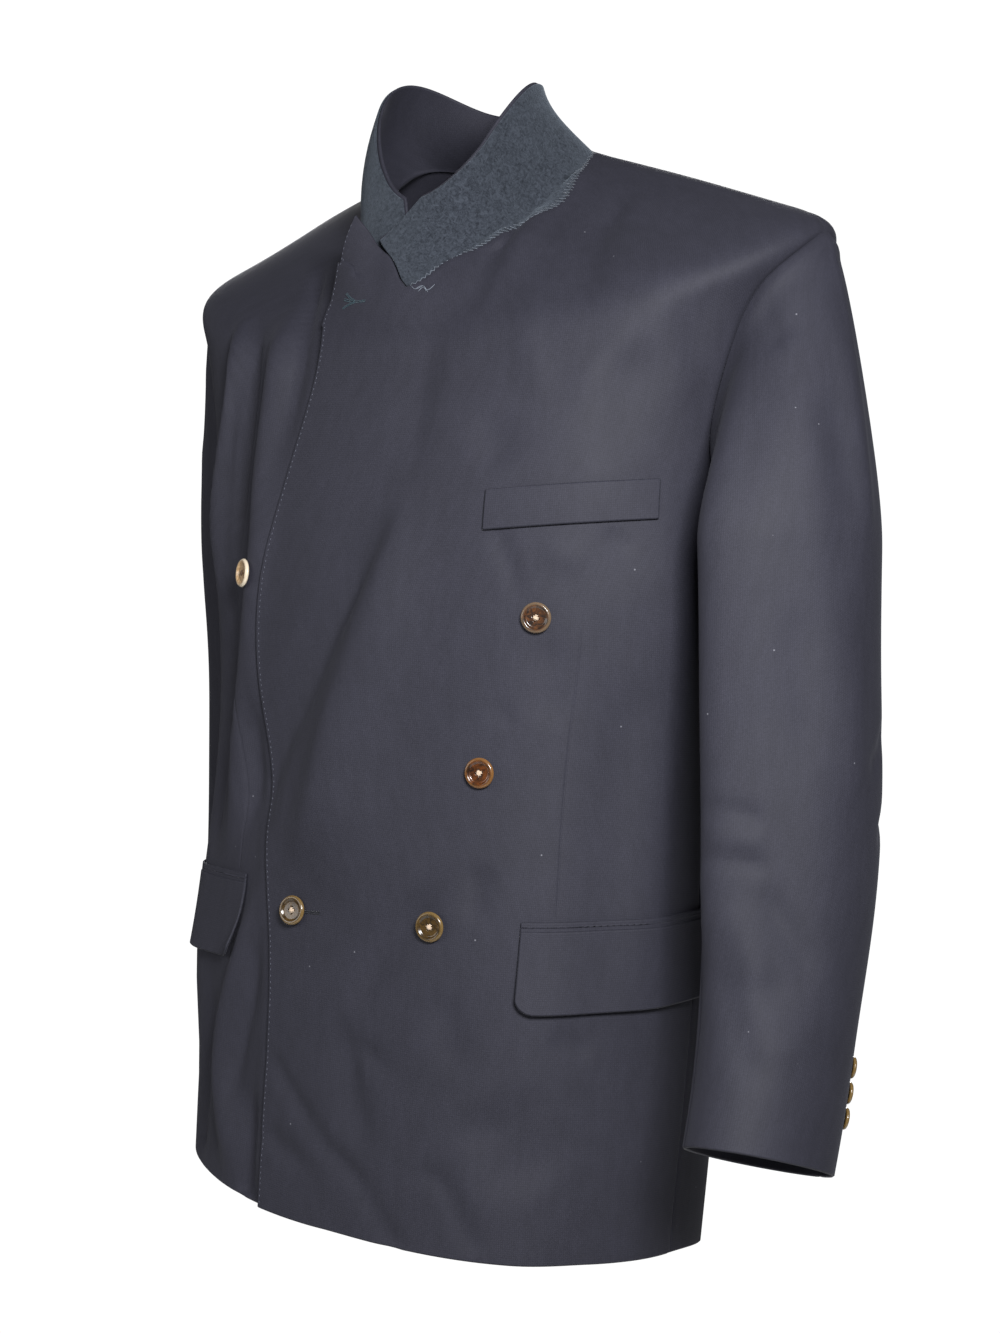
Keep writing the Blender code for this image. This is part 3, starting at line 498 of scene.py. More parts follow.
# %% Folds of the back
BACK_FOLDS = [
    # blade folds that fall from the shoulders, a soft break at the waist, ripples in the skirt
    back_fold(0.020, -0.0076, (-0.155, -0.130), (-0.148, -0.190), (-0.128, -0.260), (-0.098, -0.330)),
    back_fold(0.018, 0.0054, (-0.128, -0.140), (-0.120, -0.200), (-0.100, -0.270), (-0.072, -0.330)),
    back_fold(0.022, -0.0068, (0.162, -0.140), (0.150, -0.205), (0.136, -0.270), (0.112, -0.350)),
    back_fold(0.016, 0.0050, (0.134, -0.150), (0.124, -0.210), (0.108, -0.275), (0.090, -0.340)),
    back_fold(0.010, -0.0040, (-0.060, -0.028), (-0.030, -0.040), (0.004, -0.043), (0.040, -0.038),
              (0.066, -0.030)),
    back_fold(0.016, -0.0061, (-0.150, -0.430), (-0.100, -0.447), (-0.040, -0.452), (0.020, -0.444)),
    back_fold(0.014, -0.0047, (0.040, -0.470), (0.090, -0.458), (0.150, -0.462)),
    back_fold(0.018, 0.0050, (-0.132, -0.560), (-0.128, -0.640), (-0.134, -0.730), (-0.140, -0.810),
              fade=(0.4, 0.0)),
    back_fold(0.020, -0.0054, (-0.088, -0.600), (-0.084, -0.680), (-0.090, -0.810), fade=(0.5, 0.0)),
    back_fold(0.022, -0.0061, (0.070, -0.590), (0.078, -0.680), (0.074, -0.810), fade=(0.5, 0.0)),
    back_fold(0.018, 0.0047, (0.116, -0.560), (0.122, -0.650), (0.118, -0.800), fade=(0.4, 0.0)),
]
BODY_FOLDS = LEFT_FOLDS + RIGHT_FOLDS + BACK_FOLDS
print(len(BODY_FOLDS), "folds on the body")


# %% Seams that sink the cloth
def seam(turns, rows, width=0.0018, height=-0.0011, fade=(0.02, 0.02)):
    return stroke(form(turns, rows), width, height, fade)


def dart_turn(row, side):
    """Turn of a front's dart line at a row."""
    (low_turn, low_row), (high_turn, high_row) = (place(*spot) for spot in DART[side])
    return np.interp(row, [low_row, high_row], [low_turn, high_turn])


SEAMS = []
for side in HAND:
    rows = np.linspace(0, ROW["underarm"], 60)
    SEAMS.append(seam(side * np.full(60, 90.0), rows, height=-0.0007))
    rows = np.linspace(ROW["shoulder"], ROW["neck"], 50)
    SEAMS.append(seam(side * shoulder_turn(rows), rows, height=-0.0009))
    part = (1 - np.cos(np.linspace(0, math.pi, 90))) / 2
    rows = ROW["underarm"] + (ROW["shoulder"] - ROW["underarm"]) * part
    for way, reach in ((-1, ARMHOLE_FRONT), (1, ARMHOLE_BACK)):
        turns = side * (90 + way * armhole_turn(rows, reach))
        SEAMS.append(seam(turns, rows, height=-0.0012))
    low, high = (place(*spot) for spot in DART[side])
    rows = np.linspace(low[1], high[1], 40)
    SEAMS.append(seam(dart_turn(rows, side), rows, width=0.0006, height=-0.0006, fade=(0.0, 0.25)))
rows = np.linspace(0, ROW["neck"], 110)
SEAMS.append(seam(np.full(110, 180.0), rows, width=0.0016, height=-0.0008))
for turns in (np.linspace(GORGE_CORNER, 180, 80), np.linspace(180, 360 - GORGE_CORNER, 80)):
    SEAMS.append(seam(turns, gorge_row(turns), width=0.0016, height=-0.0008))
RIGHT_GORGE = SEAMS[-1]
print(len(SEAMS), "seams")


# %% What each front has for itself
# The right front is pressed up against the edge of the left one, and that hides most of the step.
UNDER_EDGE = fold(0.0110, 0.0034, *[(-x - 0.003, z) for z, x in reversed(FRONT_EDGE[:10])], fade=(0.05, 0.0))


def strokes_of(side):
    """Folds and seams of one side. The right half of the collar seam lies under the left lapel."""
    own = [line for line in SEAMS if line is not RIGHT_GORGE] if side > 0 else SEAMS + [UNDER_EDGE]
    return BODY_FOLDS + own


print("the right front has", len(strokes_of(-1)), "strokes, the left one", len(strokes_of(1)))


# %% The skin: a point of the cloth
def skin(turns, rows, out, lapped, strokes, surface_strokes=()):
    """Points at distances out from the form. Surface strokes lie on the cloth, the others on the form."""
    turns, rows = np.broadcast_arrays(np.asarray(turns, float), np.asarray(rows, float))
    base, normal = form(turns, rows), form_normal(turns, rows)
    stand = lap_lift(turns, rows) if lapped else 0 * turns
    lift = stand + relief(base, strokes)
    if surface_strokes:
        lift = lift + relief(base + normal * (stand + CLOTH)[..., None], surface_strokes)
    return [base + normal * (lift + o)[..., None] for o in out]


print("skin at the left chest:", skin(40, ROW["chest"], [CLOTH], True, BODY_FOLDS)[0].round(3))

# %% [markdown]
# ## Cloth as a thin closed wall
#
# A sheet with no thickness has no edge to catch the light, and a solidify modifier gives a square one.
# Here a wall is built from two grids of points, the inside and the outside, with a ring of points between
# them along every edge, pushed out a little. That gives a turned, rounded edge like pressed cloth.
# The texture map is laid out in metres, so that a weave drawn on it keeps its real size.

# %% Put a mesh in the scene
def new_piece(name, points, faces, material, flat=None):
    """A smooth piece. flat gives each point's place on the texture map called cloth."""
    mesh = bpy.data.meshes.new(name)
    mesh.from_pydata(points, [], faces)
    if flat is not None:
        corners = np.empty(len(mesh.loops), int)
        mesh.loops.foreach_get("vertex_index", corners)
        mesh.uv_layers.new(name="cloth").data.foreach_set("uv", flat[corners].ravel())
    mesh.polygons.foreach_set("use_smooth", np.ones(len(mesh.polygons), bool))
    mesh.materials.append(material)
    mesh.update()
    piece = bpy.data.objects.new(name, mesh)
    bpy.context.scene.collection.objects.link(piece)
    return piece


# %% Build a wall of cloth
NEAR_EDGE = np.array([0.0, 0.0006, 0.0013, 0.0022, 0.0034])     # where the first columns beside an edge lie


def spread(length, close_start=True, close_end=True, step=STEP):
    """Parts of a length, from 0 to 1: even steps, and closer ones beside an edge or seam."""
    first = NEAR_EDGE if close_start else NEAR_EDGE[:1]
    last = length - (NEAR_EDGE if close_end else NEAR_EDGE[:1])[::-1]
    inner = last[0] - first[-1]
    count = max(2, int(round(inner / step)))
    middle = first[-1] + inner * np.linspace(0, 1, count + 1)[1:-1]
    return np.concatenate([first, middle, last]) / length


def cloth_wall(name, inner, outer, material, present=None):
    """Closed wall between two grids of points. present says which cells of the grid are cloth."""
    rows, columns = inner.shape[:2]
    if present is None:
        present = np.ones((rows - 1, columns - 1), bool)
    first = unit(np.cross(outer[:-1, 1:] - outer[:-1, :-1], outer[1:, :-1] - outer[:-1, :-1]))
    facing = (first * (outer - inner)[:-1, :-1]).sum(-1)[present].mean()
    if facing < 0:
        inner, outer, present = inner[:, ::-1], outer[:, ::-1], present[:, ::-1]
    across, upward = distances(outer, 1), distances(outer, 0)
    used = np.zeros((rows, columns), bool)
    for i, j in ((0, 0), (0, 1), (1, 0), (1, 1)):
        used[i:rows - 1 + i, j:columns - 1 + j] |= present
    number = np.full((rows, columns), -1)
    number[used] = np.arange(used.sum())
    count = int(used.sum())
    a, b = number[:-1, :-1], number[:-1, 1:]
    d, c = number[1:, :-1], number[1:, 1:]
    cells = np.stack([a, b, c, d], axis=-1)[present]
    padded = np.pad(present, 1)
    open_edges = []
    for start, end, beside in ((a, b, padded[:-2, 1:-1]), (b, c, padded[1:-1, 2:]),
                               (c, d, padded[2:, 1:-1]), (d, a, padded[1:-1, :-2])):
        lone = present & ~beside
        open_edges.append(np.stack([start[lone], end[lone]], axis=-1))
    rim = np.concatenate(open_edges)
    outside, inside = outer[used], inner[used]
    depth = np.linalg.norm(outside - inside, axis=-1, keepdims=True)
    push = np.zeros_like(outside)
    sideways = unit(np.cross(outside[rim[:, 1]] - outside[rim[:, 0]], (outside - inside)[rim[:, 0]]))
    np.add.at(push, rim[:, 0], sideways)
    np.add.at(push, rim[:, 1], sideways)
    on_rim = np.unique(rim)
    middle = (outside + inside)[on_rim] / 2 + unit(push[on_rim]) * depth[on_rim] / 2
    place_on_rim = np.full(count, -1)
    place_on_rim[on_rim] = np.arange(len(on_rim)) + 2 * count
    p, q = rim[:, 0], rim[:, 1]
    pm, qm = place_on_rim[p], place_on_rim[q]
    faces = np.concatenate([
        cells, cells[:, ::-1] + count,
        np.stack([q, p, pm, qm], axis=-1), np.stack([qm, pm, p + count, q + count], axis=-1),
    ])
    points = np.concatenate([outside, inside, middle])
    flat = np.stack([across[used], upward[used]], axis=-1)
    flat = np.concatenate([flat, flat, flat[on_rim]])
    piece = new_piece(name, points.tolist(), faces.tolist(), material, flat)
    e1, e2 = outer[:-1, 1:] - outer[:-1, :-1], outer[1:, :-1] - outer[:-1, :-1]
    area = float(np.linalg.norm(np.cross(e1, e2), axis=-1)[present].sum())
    print(f"{name}: {len(faces)} faces, {area:.4f} m2, {across.max():.3f} by {upward.max():.3f} m")
    piece["cloth_area"] = area
    return piece


# %% [markdown]
# ## Materials
#
# Colours are picked as the eye sees them, in sRGB hex, and one function turns them to the linear values
# that a renderer adds up. One more function adds a node with its settings and links, and it leaves the
# sockets to a second one, because the shader's own sockets are fed in the same way.

# %% Helpers for materials
def linear(code):
    """An sRGB hex colour as linear red, green, blue and alpha."""
    parts = [int(code[i:i + 2], 16) / 255 for i in (1, 3, 5)]
    return tuple(p / 12.92 if p <= 0.04045 else ((p + 0.055) / 1.055) ** 2.4 for p in parts) + (1.0,)


def feed(tree, node, inputs):
    """Give a node's sockets their values, or the outputs that feed them."""
    for socket, value in inputs.items():
        if isinstance(value, bpy.types.NodeSocket):
            tree.links.new(value, node.inputs[socket])
        else:
            node.inputs[socket].default_value = value
    return node


def add(tree, kind, inputs=None, **settings):
    """Add a node of the kind ShaderNode and kind. settings are its own, and inputs go to its sockets."""
    node = tree.nodes.new("ShaderNode" + kind)
    for name, value in settings.items():
        setattr(node, name, value)
    return feed(tree, node, inputs or {})


def new_material(name):
    """An empty material with its shader, ready for nodes."""
    material = bpy.data.materials.new(name)
    material.use_nodes = True
    return material, material.node_tree, material.node_tree.nodes["Principled BSDF"]


print("dark navy as linear light:", [round(v, 4) for v in linear("#23232d")])

# %% [markdown]
# ### Worsted wool suiting
#
# Worsted wool is spun smooth and woven tight, then pressed. It looks matt, with a faint silky bloom where
# the cloth turns away from us. Its threads are about 0.4 mm apart, far finer than a picture of the whole
# blazer can show, so the weave is drawn at 1.5 mm to be seen at all. The dark navy is never one colour:
# fibres of slightly different dyes give a soft heather, the nap lies in faint streaks along the length
# of the cloth, and a few pale specks of lint sit on top.

# %% Wool suiting
WEAVE = 0.0015            # drawn thread spacing in metres: the real one is 0.4 mm
NAP, NAP_STRETCH = 0.0080, 0.35     # the nap lies in streaks this wide, and about three times as long
SLUB, CLOUD = 1 / 900, 1 / 14       # uneven yarn at each millimetre, and a slow drift of tone over 7 cm
LINT = 1 / 75                       # a patch of cloth that may hold one speck of lint is 13 mm wide


def make_suiting():
    material, tree, shader = new_material("worsted wool suiting")
    cloth_map = add(tree, "UVMap", uv_map="cloth").outputs["UV"]
    spot = add(tree, "TexCoord").outputs["Object"]
    bands = {"Vector": cloth_map, "Scale": 2 * math.pi / 20 / WEAVE, "Distortion": 1.2, "Detail": 2.0,
             "Detail Scale": 0.4}
    weft = add(tree, "TexWave", bands, bands_direction="Y").outputs["Fac"]
    warp = add(tree, "TexWave", bands, bands_direction="X").outputs["Fac"]
    threads = add(tree, "Math", {0: warp, 1: weft}, operation="MULTIPLY").outputs[0]
    slub = add(tree, "TexNoise", {"Vector": spot, "Scale": 1 / SLUB, "Detail": 2.0}).outputs["Fac"]
    cloud = add(tree, "TexNoise", {"Vector": spot, "Scale": 1 / CLOUD, "Detail": 4.0}).outputs["Fac"]
    # the heather, from the darker dye to the paler one
    heather = add(tree, "Mix", {0: slub, 6: linear("#23232d"), 7: linear("#363641")},
                  data_type="RGBA").outputs[2]
    # threads, nap and the slow drift each make it a little lighter or darker
    lit = add(tree, "MapRange", {"Value": threads, "To Min": 0.87, "To Max": 1.15}).outputs[0]
    along_nap = add(tree, "Mapping", {"Vector": cloth_map, "Scale": (1.0, NAP_STRETCH, 1.0)}).outputs[0]
    nap = add(tree, "TexNoise", {"Vector": along_nap, "Scale": 1 / NAP, "Detail": 3.0}).outputs["Fac"]
    brushed = add(tree, "MapRange", {"Value": nap, "From Min": 0.3, "From Max": 0.7,
                                     "To Min": 0.93, "To Max": 1.07}).outputs[0]
    tone = add(tree, "MapRange", {"Value": cloud, "From Min": 0.3, "From Max": 0.7,
                                  "To Min": 0.94, "To Max": 1.06}).outputs[0]
    uneven = add(tree, "Math", {0: tone, 1: brushed}, operation="MULTIPLY").outputs[0]
    both = add(tree, "Math", {0: lit, 1: uneven}, operation="MULTIPLY").outputs[0]
    woven = add(tree, "VectorMath", {0: heather, 3: both}, operation="SCALE").outputs[0]
    # lint: a round dot in one patch of seven
    speck = add(tree, "TexVoronoi", {"Vector": spot, "Scale": 1 / LINT, "Randomness": 1.0})
    dot = add(tree, "MapRange", {"Value": speck.outputs["Distance"], "From Min": 0.030, "From Max": 0.055,
                                 "To Min": 1.0, "To Max": 0.0}).outputs[0]
    chosen = add(tree, "SeparateColor", {0: speck.outputs["Color"]}).outputs[0]
    rare = add(tree, "Math", {0: chosen, 1: 0.86}, operation="GREATER_THAN").outputs[0]
    lint = add(tree, "Math", {0: dot, 1: rare}, operation="MULTIPLY").outputs[0]
    faint = add(tree, "Math", {0: lint, 1: 0.45}, operation="MULTIPLY").outputs[0]
    colour = add(tree, "Mix", {0: faint, 6: woven, 7: linear("#9c9da6")}, data_type="RGBA").outputs[2]
    height = add(tree, "Math", {0: threads, 1: slub}, operation="ADD").outputs[0]
    bump = add(tree, "Bump", {"Height": height, "Strength": 0.22, "Distance": 0.0002}).outputs[0]
    rough = add(tree, "MapRange", {"Value": cloud, "To Min": 0.66, "To Max": 0.78}).outputs[0]
    feed(tree, shader, {"Base Color": colour, "Normal": bump, "Roughness": rough,
                        "Specular IOR Level": 0.30, "Sheen Weight": 0.05, "Sheen Roughness": 0.40,
                        "Sheen Tint": linear("#b9bbca")})
    return material


SUITING = make_suiting()
print("made", SUITING.name)

# %% [markdown]
# ### Under collar felt
#
# The under side of a collar is melton felt, cut on the bias and sewn down raw. Felt has no threads: short
# fibres lie in all directions, so it takes a bump of many fine crossing hairs, and a colour that is
# mottled at two to four millimetres.

# %% Melton felt
HAIRS, CLUMPS = 1 / 620, 1 / 260    # hairs cross each 1.6 mm and lie in clumps of nearly 4 mm


def make_felt():
    material, tree, shader = new_material("melton felt")
    spot = add(tree, "TexCoord").outputs["Object"]
    hair = add(tree, "TexNoise", {"Vector": spot, "Scale": 1 / HAIRS, "Detail": 3.0, "Roughness": 0.7,
                                  "Distortion": 1.4}).outputs["Fac"]
    clump = add(tree, "TexNoise", {"Vector": spot, "Scale": 1 / CLUMPS, "Detail": 2.0,
                                   "Distortion": 1.5}).outputs["Fac"]
    mixed = add(tree, "Math", {0: hair, 1: clump}, operation="ADD").outputs[0]
    shade = add(tree, "MapRange", {"Value": mixed, "From Min": 0.72, "From Max": 1.28}).outputs[0]
    colour = add(tree, "Mix", {0: shade, 6: linear("#191c23"), 7: linear("#3b4049")},
                 data_type="RGBA").outputs[2]
    bump = add(tree, "Bump", {"Height": mixed, "Strength": 0.65, "Distance": 0.0006}).outputs[0]
    feed(tree, shader, {"Base Color": colour, "Normal": bump, "Roughness": 0.95, "Specular IOR Level": 0.2,
                        "Sheen Weight": 0.35, "Sheen Roughness": 0.6, "Sheen Tint": linear("#9aa6b4")})
    return material


MELTON = make_felt()
print("made", MELTON.name)

# %% [markdown]
# ### Horn
#
# Horn buttons are turned from real horn and polished. The face runs from orange brown to olive, a clear
# gloss lies over all of it, and the rim is painted paler, as a painted highlight of the light along it.
# Horn's IOR is near 1.55.

# %% Polished horn
STREAK = 1 / 170          # streaks in the horn are 6 mm apart


# dark and mid are the face's own tones; pale is a painted highlight along the rim, standing in for its glint
# of light
def make_horn(name, dark, mid, pale, blend=0.5):
    material, tree, shader = new_material(name)
    spot = add(tree, "TexCoord").outputs["Object"]
    # the texture map's first value is the part of the radius, which masks the painted rim highlight
    rim = add(tree, "UVMap", uv_map="cloth").outputs["UV"]
    radius = add(tree, "SeparateXYZ", {0: rim}).outputs[0]
    streak = add(tree, "TexNoise", {"Vector": spot, "Scale": 1 / STREAK, "Detail": 3.0, "Roughness": 0.6,
                                    "Distortion": 1.8}).outputs["Fac"]
    share = add(tree, "MapRange", {"Value": streak, "From Min": blend - 0.16,
                                   "From Max": blend + 0.16}).outputs[0]
    face = add(tree, "Mix", {0: share, 6: linear(dark), 7: linear(mid)}, data_type="RGBA").outputs[2]
    # painted highlight: towards the outer edge the face is mixed three quarters of the way to the pale
    # colour
    edge = add(tree, "MapRange", {"Value": radius, "From Min": 0.78, "From Max": 0.97}).outputs[0]
    part = add(tree, "Math", {0: edge, 1: 0.75}, operation="MULTIPLY").outputs[0]
    colour = add(tree, "Mix", {0: part, 6: face, 7: linear(pale)}, data_type="RGBA").outputs[2]
    feed(tree, shader, {"Base Color": colour, "Roughness": 0.24, "IOR": 1.55, "Coat Weight": 0.5,
                        "Coat Roughness": 0.08})
    return material


# the last colour of each horn is its painted rim highlight
HORN = make_horn("polished horn, orange brown", "#21140b", "#5c3213", "#8a6236")
HORN_GREY = make_horn("polished horn, grey brown", "#241c18", "#5e3a1f", "#7d6a54", 0.55)
HORN_OLIVE = make_horn("polished horn, olive", "#1e170e", "#4e3a1a", "#80683e", 0.48)
HORN_PALE = make_horn("polished horn, cream", "#8a6a48", "#c9ab84", "#e8ddc8", 0.45)
print("made", HORN.name, "and three more")

# %% [markdown]
# ### Sewing thread
#
# Polyester thread is about 0.3 mm thick and slightly shiny. The buttons are sewn on with a pale one, only
# the cream button with brown, and the felt with a blue grey one. The front edge is picked in slate, and
# the two buttonholes are worked in navy and in teal.

# %% Threads
TWIST = 1 / 2500          # the thread's twist, 0.4 mm long


def make_thread(name, code):
    material, tree, shader = new_material(name)
    spot = add(tree, "TexCoord").outputs["Object"]
    twist = add(tree, "TexNoise", {"Vector": spot, "Scale": 1 / TWIST, "Detail": 1.0}).outputs["Fac"]
    tone = add(tree, "MapRange", {"Value": twist, "To Min": 0.7, "To Max": 1.25}).outputs[0]
    colour = add(tree, "VectorMath", {0: linear(code)[:3], 3: tone}, operation="SCALE").outputs[0]
    feed(tree, shader, {"Base Color": colour, "Roughness": 0.55, "Sheen Weight": 0.15})
    return material


THREAD_PALE = make_thread("thread, cream", "#cdb79f")
THREAD_FELT = make_thread("thread, blue grey", "#7b838f")
THREAD_NAVY = make_thread("thread, navy", "#171a24")
THREAD_PICK = make_thread("thread, slate", "#6d7180")
THREAD_TEAL = make_thread("thread, teal", "#2f4a55")
THREAD_BROWN = make_thread("thread, brown", "#5a4028")
print("made six threads")

# %% [markdown]
# ## The fronts
#
# A front is one grid. Its columns run from the front edge to the gorge corner, on to the dart, and on to
# the side seam and armhole; its rows climb from the hem to the shoulder seam. The lapel is a smaller
# grid on top of the first columns, ending in the blunt peak. Columns crowd together beside each edge and
# the dart, because a seam is narrow and needs points to show it.

# %% Rows that the body panels share
def even_rows(low, high, turn_of, close_start=False, close_end=False):
    """Rows spaced evenly along the cloth, on the line whose turn at each row is turn_of."""
    fine = np.linspace(0, 1, 1200)
    fine = low + (high - low) * (1 - np.cos(math.pi * fine)) / 2
    run = distances(form(turn_of(fine), fine))
    return np.interp(spread(run[-1], close_start, close_end) * run[-1], run, fine)


SKIRT_ROWS = even_rows(0.0, ROW["underarm"], lambda row: 30.0 + 0 * row, True, False)
ARMHOLE_ROWS = even_rows(ROW["underarm"], ROW["shoulder"], lambda row: 90 - armhole_turn(row, ARMHOLE_FRONT))
SHOULDER_ROWS = even_rows(ROW["shoulder"], ROW["neck"], shoulder_turn, False, True)
PANEL_ROWS = np.concatenate([SKIRT_ROWS[:-1], ARMHOLE_ROWS, SHOULDER_ROWS[1:]])
print(len(PANEL_ROWS), "rows from hem to neck")


# %% Grid of a front
# About how wide each part of a front is on its way to the side seam, and how high the peak is
EDGE_TO_GORGE, GORGE_TO_DART, DART_TO_SIDE, PEAK_HEIGHT = 0.105, 0.105, 0.135, 0.052
ABOVE_DART = (0.47, 0.45)       # part of the way to the side where the dart's line runs, at chest and neck


def front_grid(side):
    """Turns and rows of a front: side is 1 for the left, -1 for the right. Columns run from its edge."""
    lap_parts = spread(EDGE_TO_GORGE)
    before, after = spread(GORGE_TO_DART, False, True), spread(DART_TO_SIDE, True, True)
    low, high = (place(*spot) for spot in DART[side])
    dart_rows = [0, low[1], high[1], ROW["chest"], ROW["neck"]]
    ends = [(abs(turn) - GORGE_CORNER) / (90.0 - GORGE_CORNER) for turn, _ in (low, high)]
    grid = []
    for row in PANEL_ROWS:
        outer = float(shoulder_turn(row) - armhole_turn(row, ARMHOLE_FRONT))
        edge = edge_turn(row)
        share = np.interp(row, dart_rows, [ends[0], *ends, *ABOVE_DART])
        dart = GORGE_CORNER + share * (outer - GORGE_CORNER)
        turns = np.concatenate([
            edge + (GORGE_CORNER - edge) * lap_parts,
            GORGE_CORNER + (dart - GORGE_CORNER) * before[1:],
            dart + (outer - dart) * after[1:],
        ])
        up = max(0.0, (row - ROW["shoulder"]) / (ROW["neck"] - ROW["shoulder"]))
        grid.append(np.stack([turns, row + up * (gorge_row(turns) - ROW["neck"])], axis=-1))
    lap = len(lap_parts) - 1
    below = grid[-1][:lap + 1]
    peak = np.array(LAPEL_TOP[-1])
    steps = spread(PEAK_HEIGHT, False, True, step=0.0032)[1:]
    for step in steps:
        edge = below[0] + (peak - below[0]) * step
        inner = GORGE_CORNER + (peak[0] + PEAK_WIDTH - GORGE_CORNER) * step
        corner = np.array([inner, smooth_line(LAPEL_TOP, inner)])
        lapel = edge + (corner - edge) * lap_parts[:, None]
        grid.append(np.concatenate([lapel, np.repeat(lapel[-1:], len(turns) - lap - 1, axis=0)]))
    turns, rows = np.moveaxis(np.array(grid), -1, 0)
    present = np.ones((turns.shape[0] - 1, turns.shape[1] - 1), bool)
    present[-len(steps):, lap:] = False
    return side * turns, rows, present


def draw_in(grid, *edges, by=SEAM_GAP / 2):
    """Draw a piece's sewn edges in by half the seam gap. An edge is a row or column and its neighbour."""
    moved = grid.copy()
    for edge, neighbour in edges:
        moved[edge] += unit(grid[neighbour] - grid[edge]) * by
    return moved


# %% Sew the fronts
def declare(piece, node):
    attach(piece, "root")
    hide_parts(node)
    return piece


def make_front(side):
    turns, rows, present = front_grid(side)
    layers = skin(turns, rows, (0.0, CLOTH), side > 0, strokes_of(side))
    neck = len(PANEL_ROWS) - 1
    lap = len(spread(EDGE_TO_GORGE)) - 1
    gorge = ((neck, slice(lap, None)), (neck - 1, slice(lap, None)))
    side_edge = ((slice(None, neck + 1), -1), (slice(None, neck + 1), -2))
    layers = [draw_in(layer, gorge, side_edge) for layer in layers]
    return cloth_wall(f"front_{HAND[side]}_cloth", *layers, SUITING, present)


FRONTS = {side: make_front(side) for side in HAND}

# %% [markdown]
# ## The backs
#
# The back panels meet at the centre back seam and join the fronts at the side and shoulder seams. They
# use the same rows as the fronts, so that both sides of a seam agree.

# %% Sew the backs
BACK_ACROSS = 0.22        # about how wide a back panel is


def make_back(side):
    parts = spread(BACK_ACROSS)
    grid = []
    for row in PANEL_ROWS:
        start = float(shoulder_turn(row) + armhole_turn(row, ARMHOLE_BACK))
        grid.append(start + (180.0 - start) * parts)
    turns = side * np.array(grid)
    rows = np.repeat(PANEL_ROWS[:, None], len(parts), axis=1)
    layers = skin(turns, rows, (0.0, CLOTH), False, BODY_FOLDS + SEAMS)
    edges = [((-1, slice(None)), (-2, slice(None))), ((slice(None), 0), (slice(None), 1)),
             ((slice(None), -1), (slice(None), -2))]
    layers = [draw_in(layer, *edges) for layer in layers]
    return cloth_wall(f"back_{HAND[side]}_cloth", *layers, SUITING)


BACKS = {side: make_back(side) for side in HAND}

# %% [markdown]
# ## The collar
#
# The collar is two layers: suit cloth inside against the neck and felt outside. Standing up, it keeps a
# sharp crease where it used to fold over. The suit cloth stands about two millimetres higher than the
# felt, so it shows as a dark line along the top.

# %% Grid of the collar
# About how long the collar is ahead of the shoulder seam and behind it, and how high it stands
COLLAR_AHEAD, COLLAR_BEHIND, COLLAR_HEIGHT = 0.150, 0.085, 0.055
FELT_HEIGHT = 0.972       # the felt's part of that height


def collar_grid(height):
    """Turns and rows of the whole collar, from its left end round the back to its right end."""
    ahead = spread(COLLAR_AHEAD, True, False, step=0.0030)
    behind = spread(COLLAR_BEHIND, False, False, step=0.0040)[1:]
    side_turn = float(shoulder_turn(ROW["neck"]))
    tip = COLLAR_END[-1]
    seam_turns = GORGE_CORNER + (side_turn - GORGE_CORNER) * ahead
    top_turns = tip[0] + (side_turn - tip[0]) * ahead
    full = np.clip((top_turns - tip[0]) / (COLLAR_FULL - tip[0]), 0, 1)
    top_rows = tip[1] + (ROW["top"] - tip[1]) * full
    rest = side_turn + (180 - side_turn) * behind
    half = [np.concatenate([seam_turns, rest]), np.concatenate([top_turns, rest]),
            np.concatenate([top_rows, np.full(len(rest), ROW["top"])])]
    up = height * spread(COLLAR_HEIGHT, True, True, step=0.0030)[:, None]
    turns = half[0] + (half[1] - half[0]) * up
    low_rows = gorge_row(half[0])
    rows = low_rows + (half[2] - low_rows) * up
    end_rows = COLLAR_END[0][1] + (tip[1] - COLLAR_END[0][1]) * up[:, 0]
    end_turns = smooth_line([(row, turn) for turn, row in COLLAR_END], end_rows)
    near = np.concatenate([np.clip(1 - ahead * 9, 0, 1) ** 1.5, np.zeros(len(rest))])
    rows = rows + (end_rows - rows[:, 0])[:, None] * near
    turns = turns + (end_turns - turns[:, 0])[:, None] * near
    turns = np.concatenate([turns, 360 - turns[:, -2::-1]], axis=1)
    return turns, np.concatenate([rows, rows[:, -2::-1]], axis=1)


COLLAR_FOLDS = [
    # the old fold line, as a sharp trough with a soft swell outside it
    fold_through(0.0028, -0.0026, (0.0705, -0.020, 0.014), (0.0705, -0.030, 0.002),
                 (0.0705, -0.042, -0.012), (0.069, -0.050, -0.022), (0.067, -0.057, -0.034),
                 (0.065, -0.068, -0.046), (0.063, -0.081, -0.061), (0.0615, -0.089, -0.073),
                 fade=(0.15, 0.0)),
    fold_through(0.0050, 0.0016, (0.073, -0.026, -0.006), (0.0735, -0.040, -0.022),
                 (0.0715, -0.054, -0.036), (0.069, -0.068, -0.052), (0.067, -0.080, -0.064),
                 fade=(0.3, 0.1)),
    fold_through(0.0040, -0.0016, (-0.039, -0.101, -0.018), (-0.036, -0.105, -0.034),
                 (-0.033, -0.109, -0.048)),
    fold_through(0.0070, -0.0012, (0.030, -0.112, -0.035), (0.036, -0.108, -0.052),
                 (0.044, -0.104, -0.070)),
    fold_through(0.0035, -0.0020, (-0.074, -0.030, 0.010), (-0.071, -0.050, -0.016),
                 (-0.066, -0.070, -0.040), (-0.060, -0.085, -0.060)),
    fold_through(0.0040, -0.0012, (-0.040, 0.010, 0.018), (0.0, 0.016, 0.017), (0.040, 0.010, 0.018)),
]


def make_collar(name, bottom, top, material, height):
    turns, rows = collar_grid(height)
    layers = skin(turns, rows, (bottom, top), True, COLLAR_DRAG + SEAMS[-2:], COLLAR_FOLDS)
    layers = [draw_in(layer, ((0, slice(None)), (1, slice(None))), by=SEAM_GAP) for layer in layers]
    return cloth_wall(name, *layers, material)


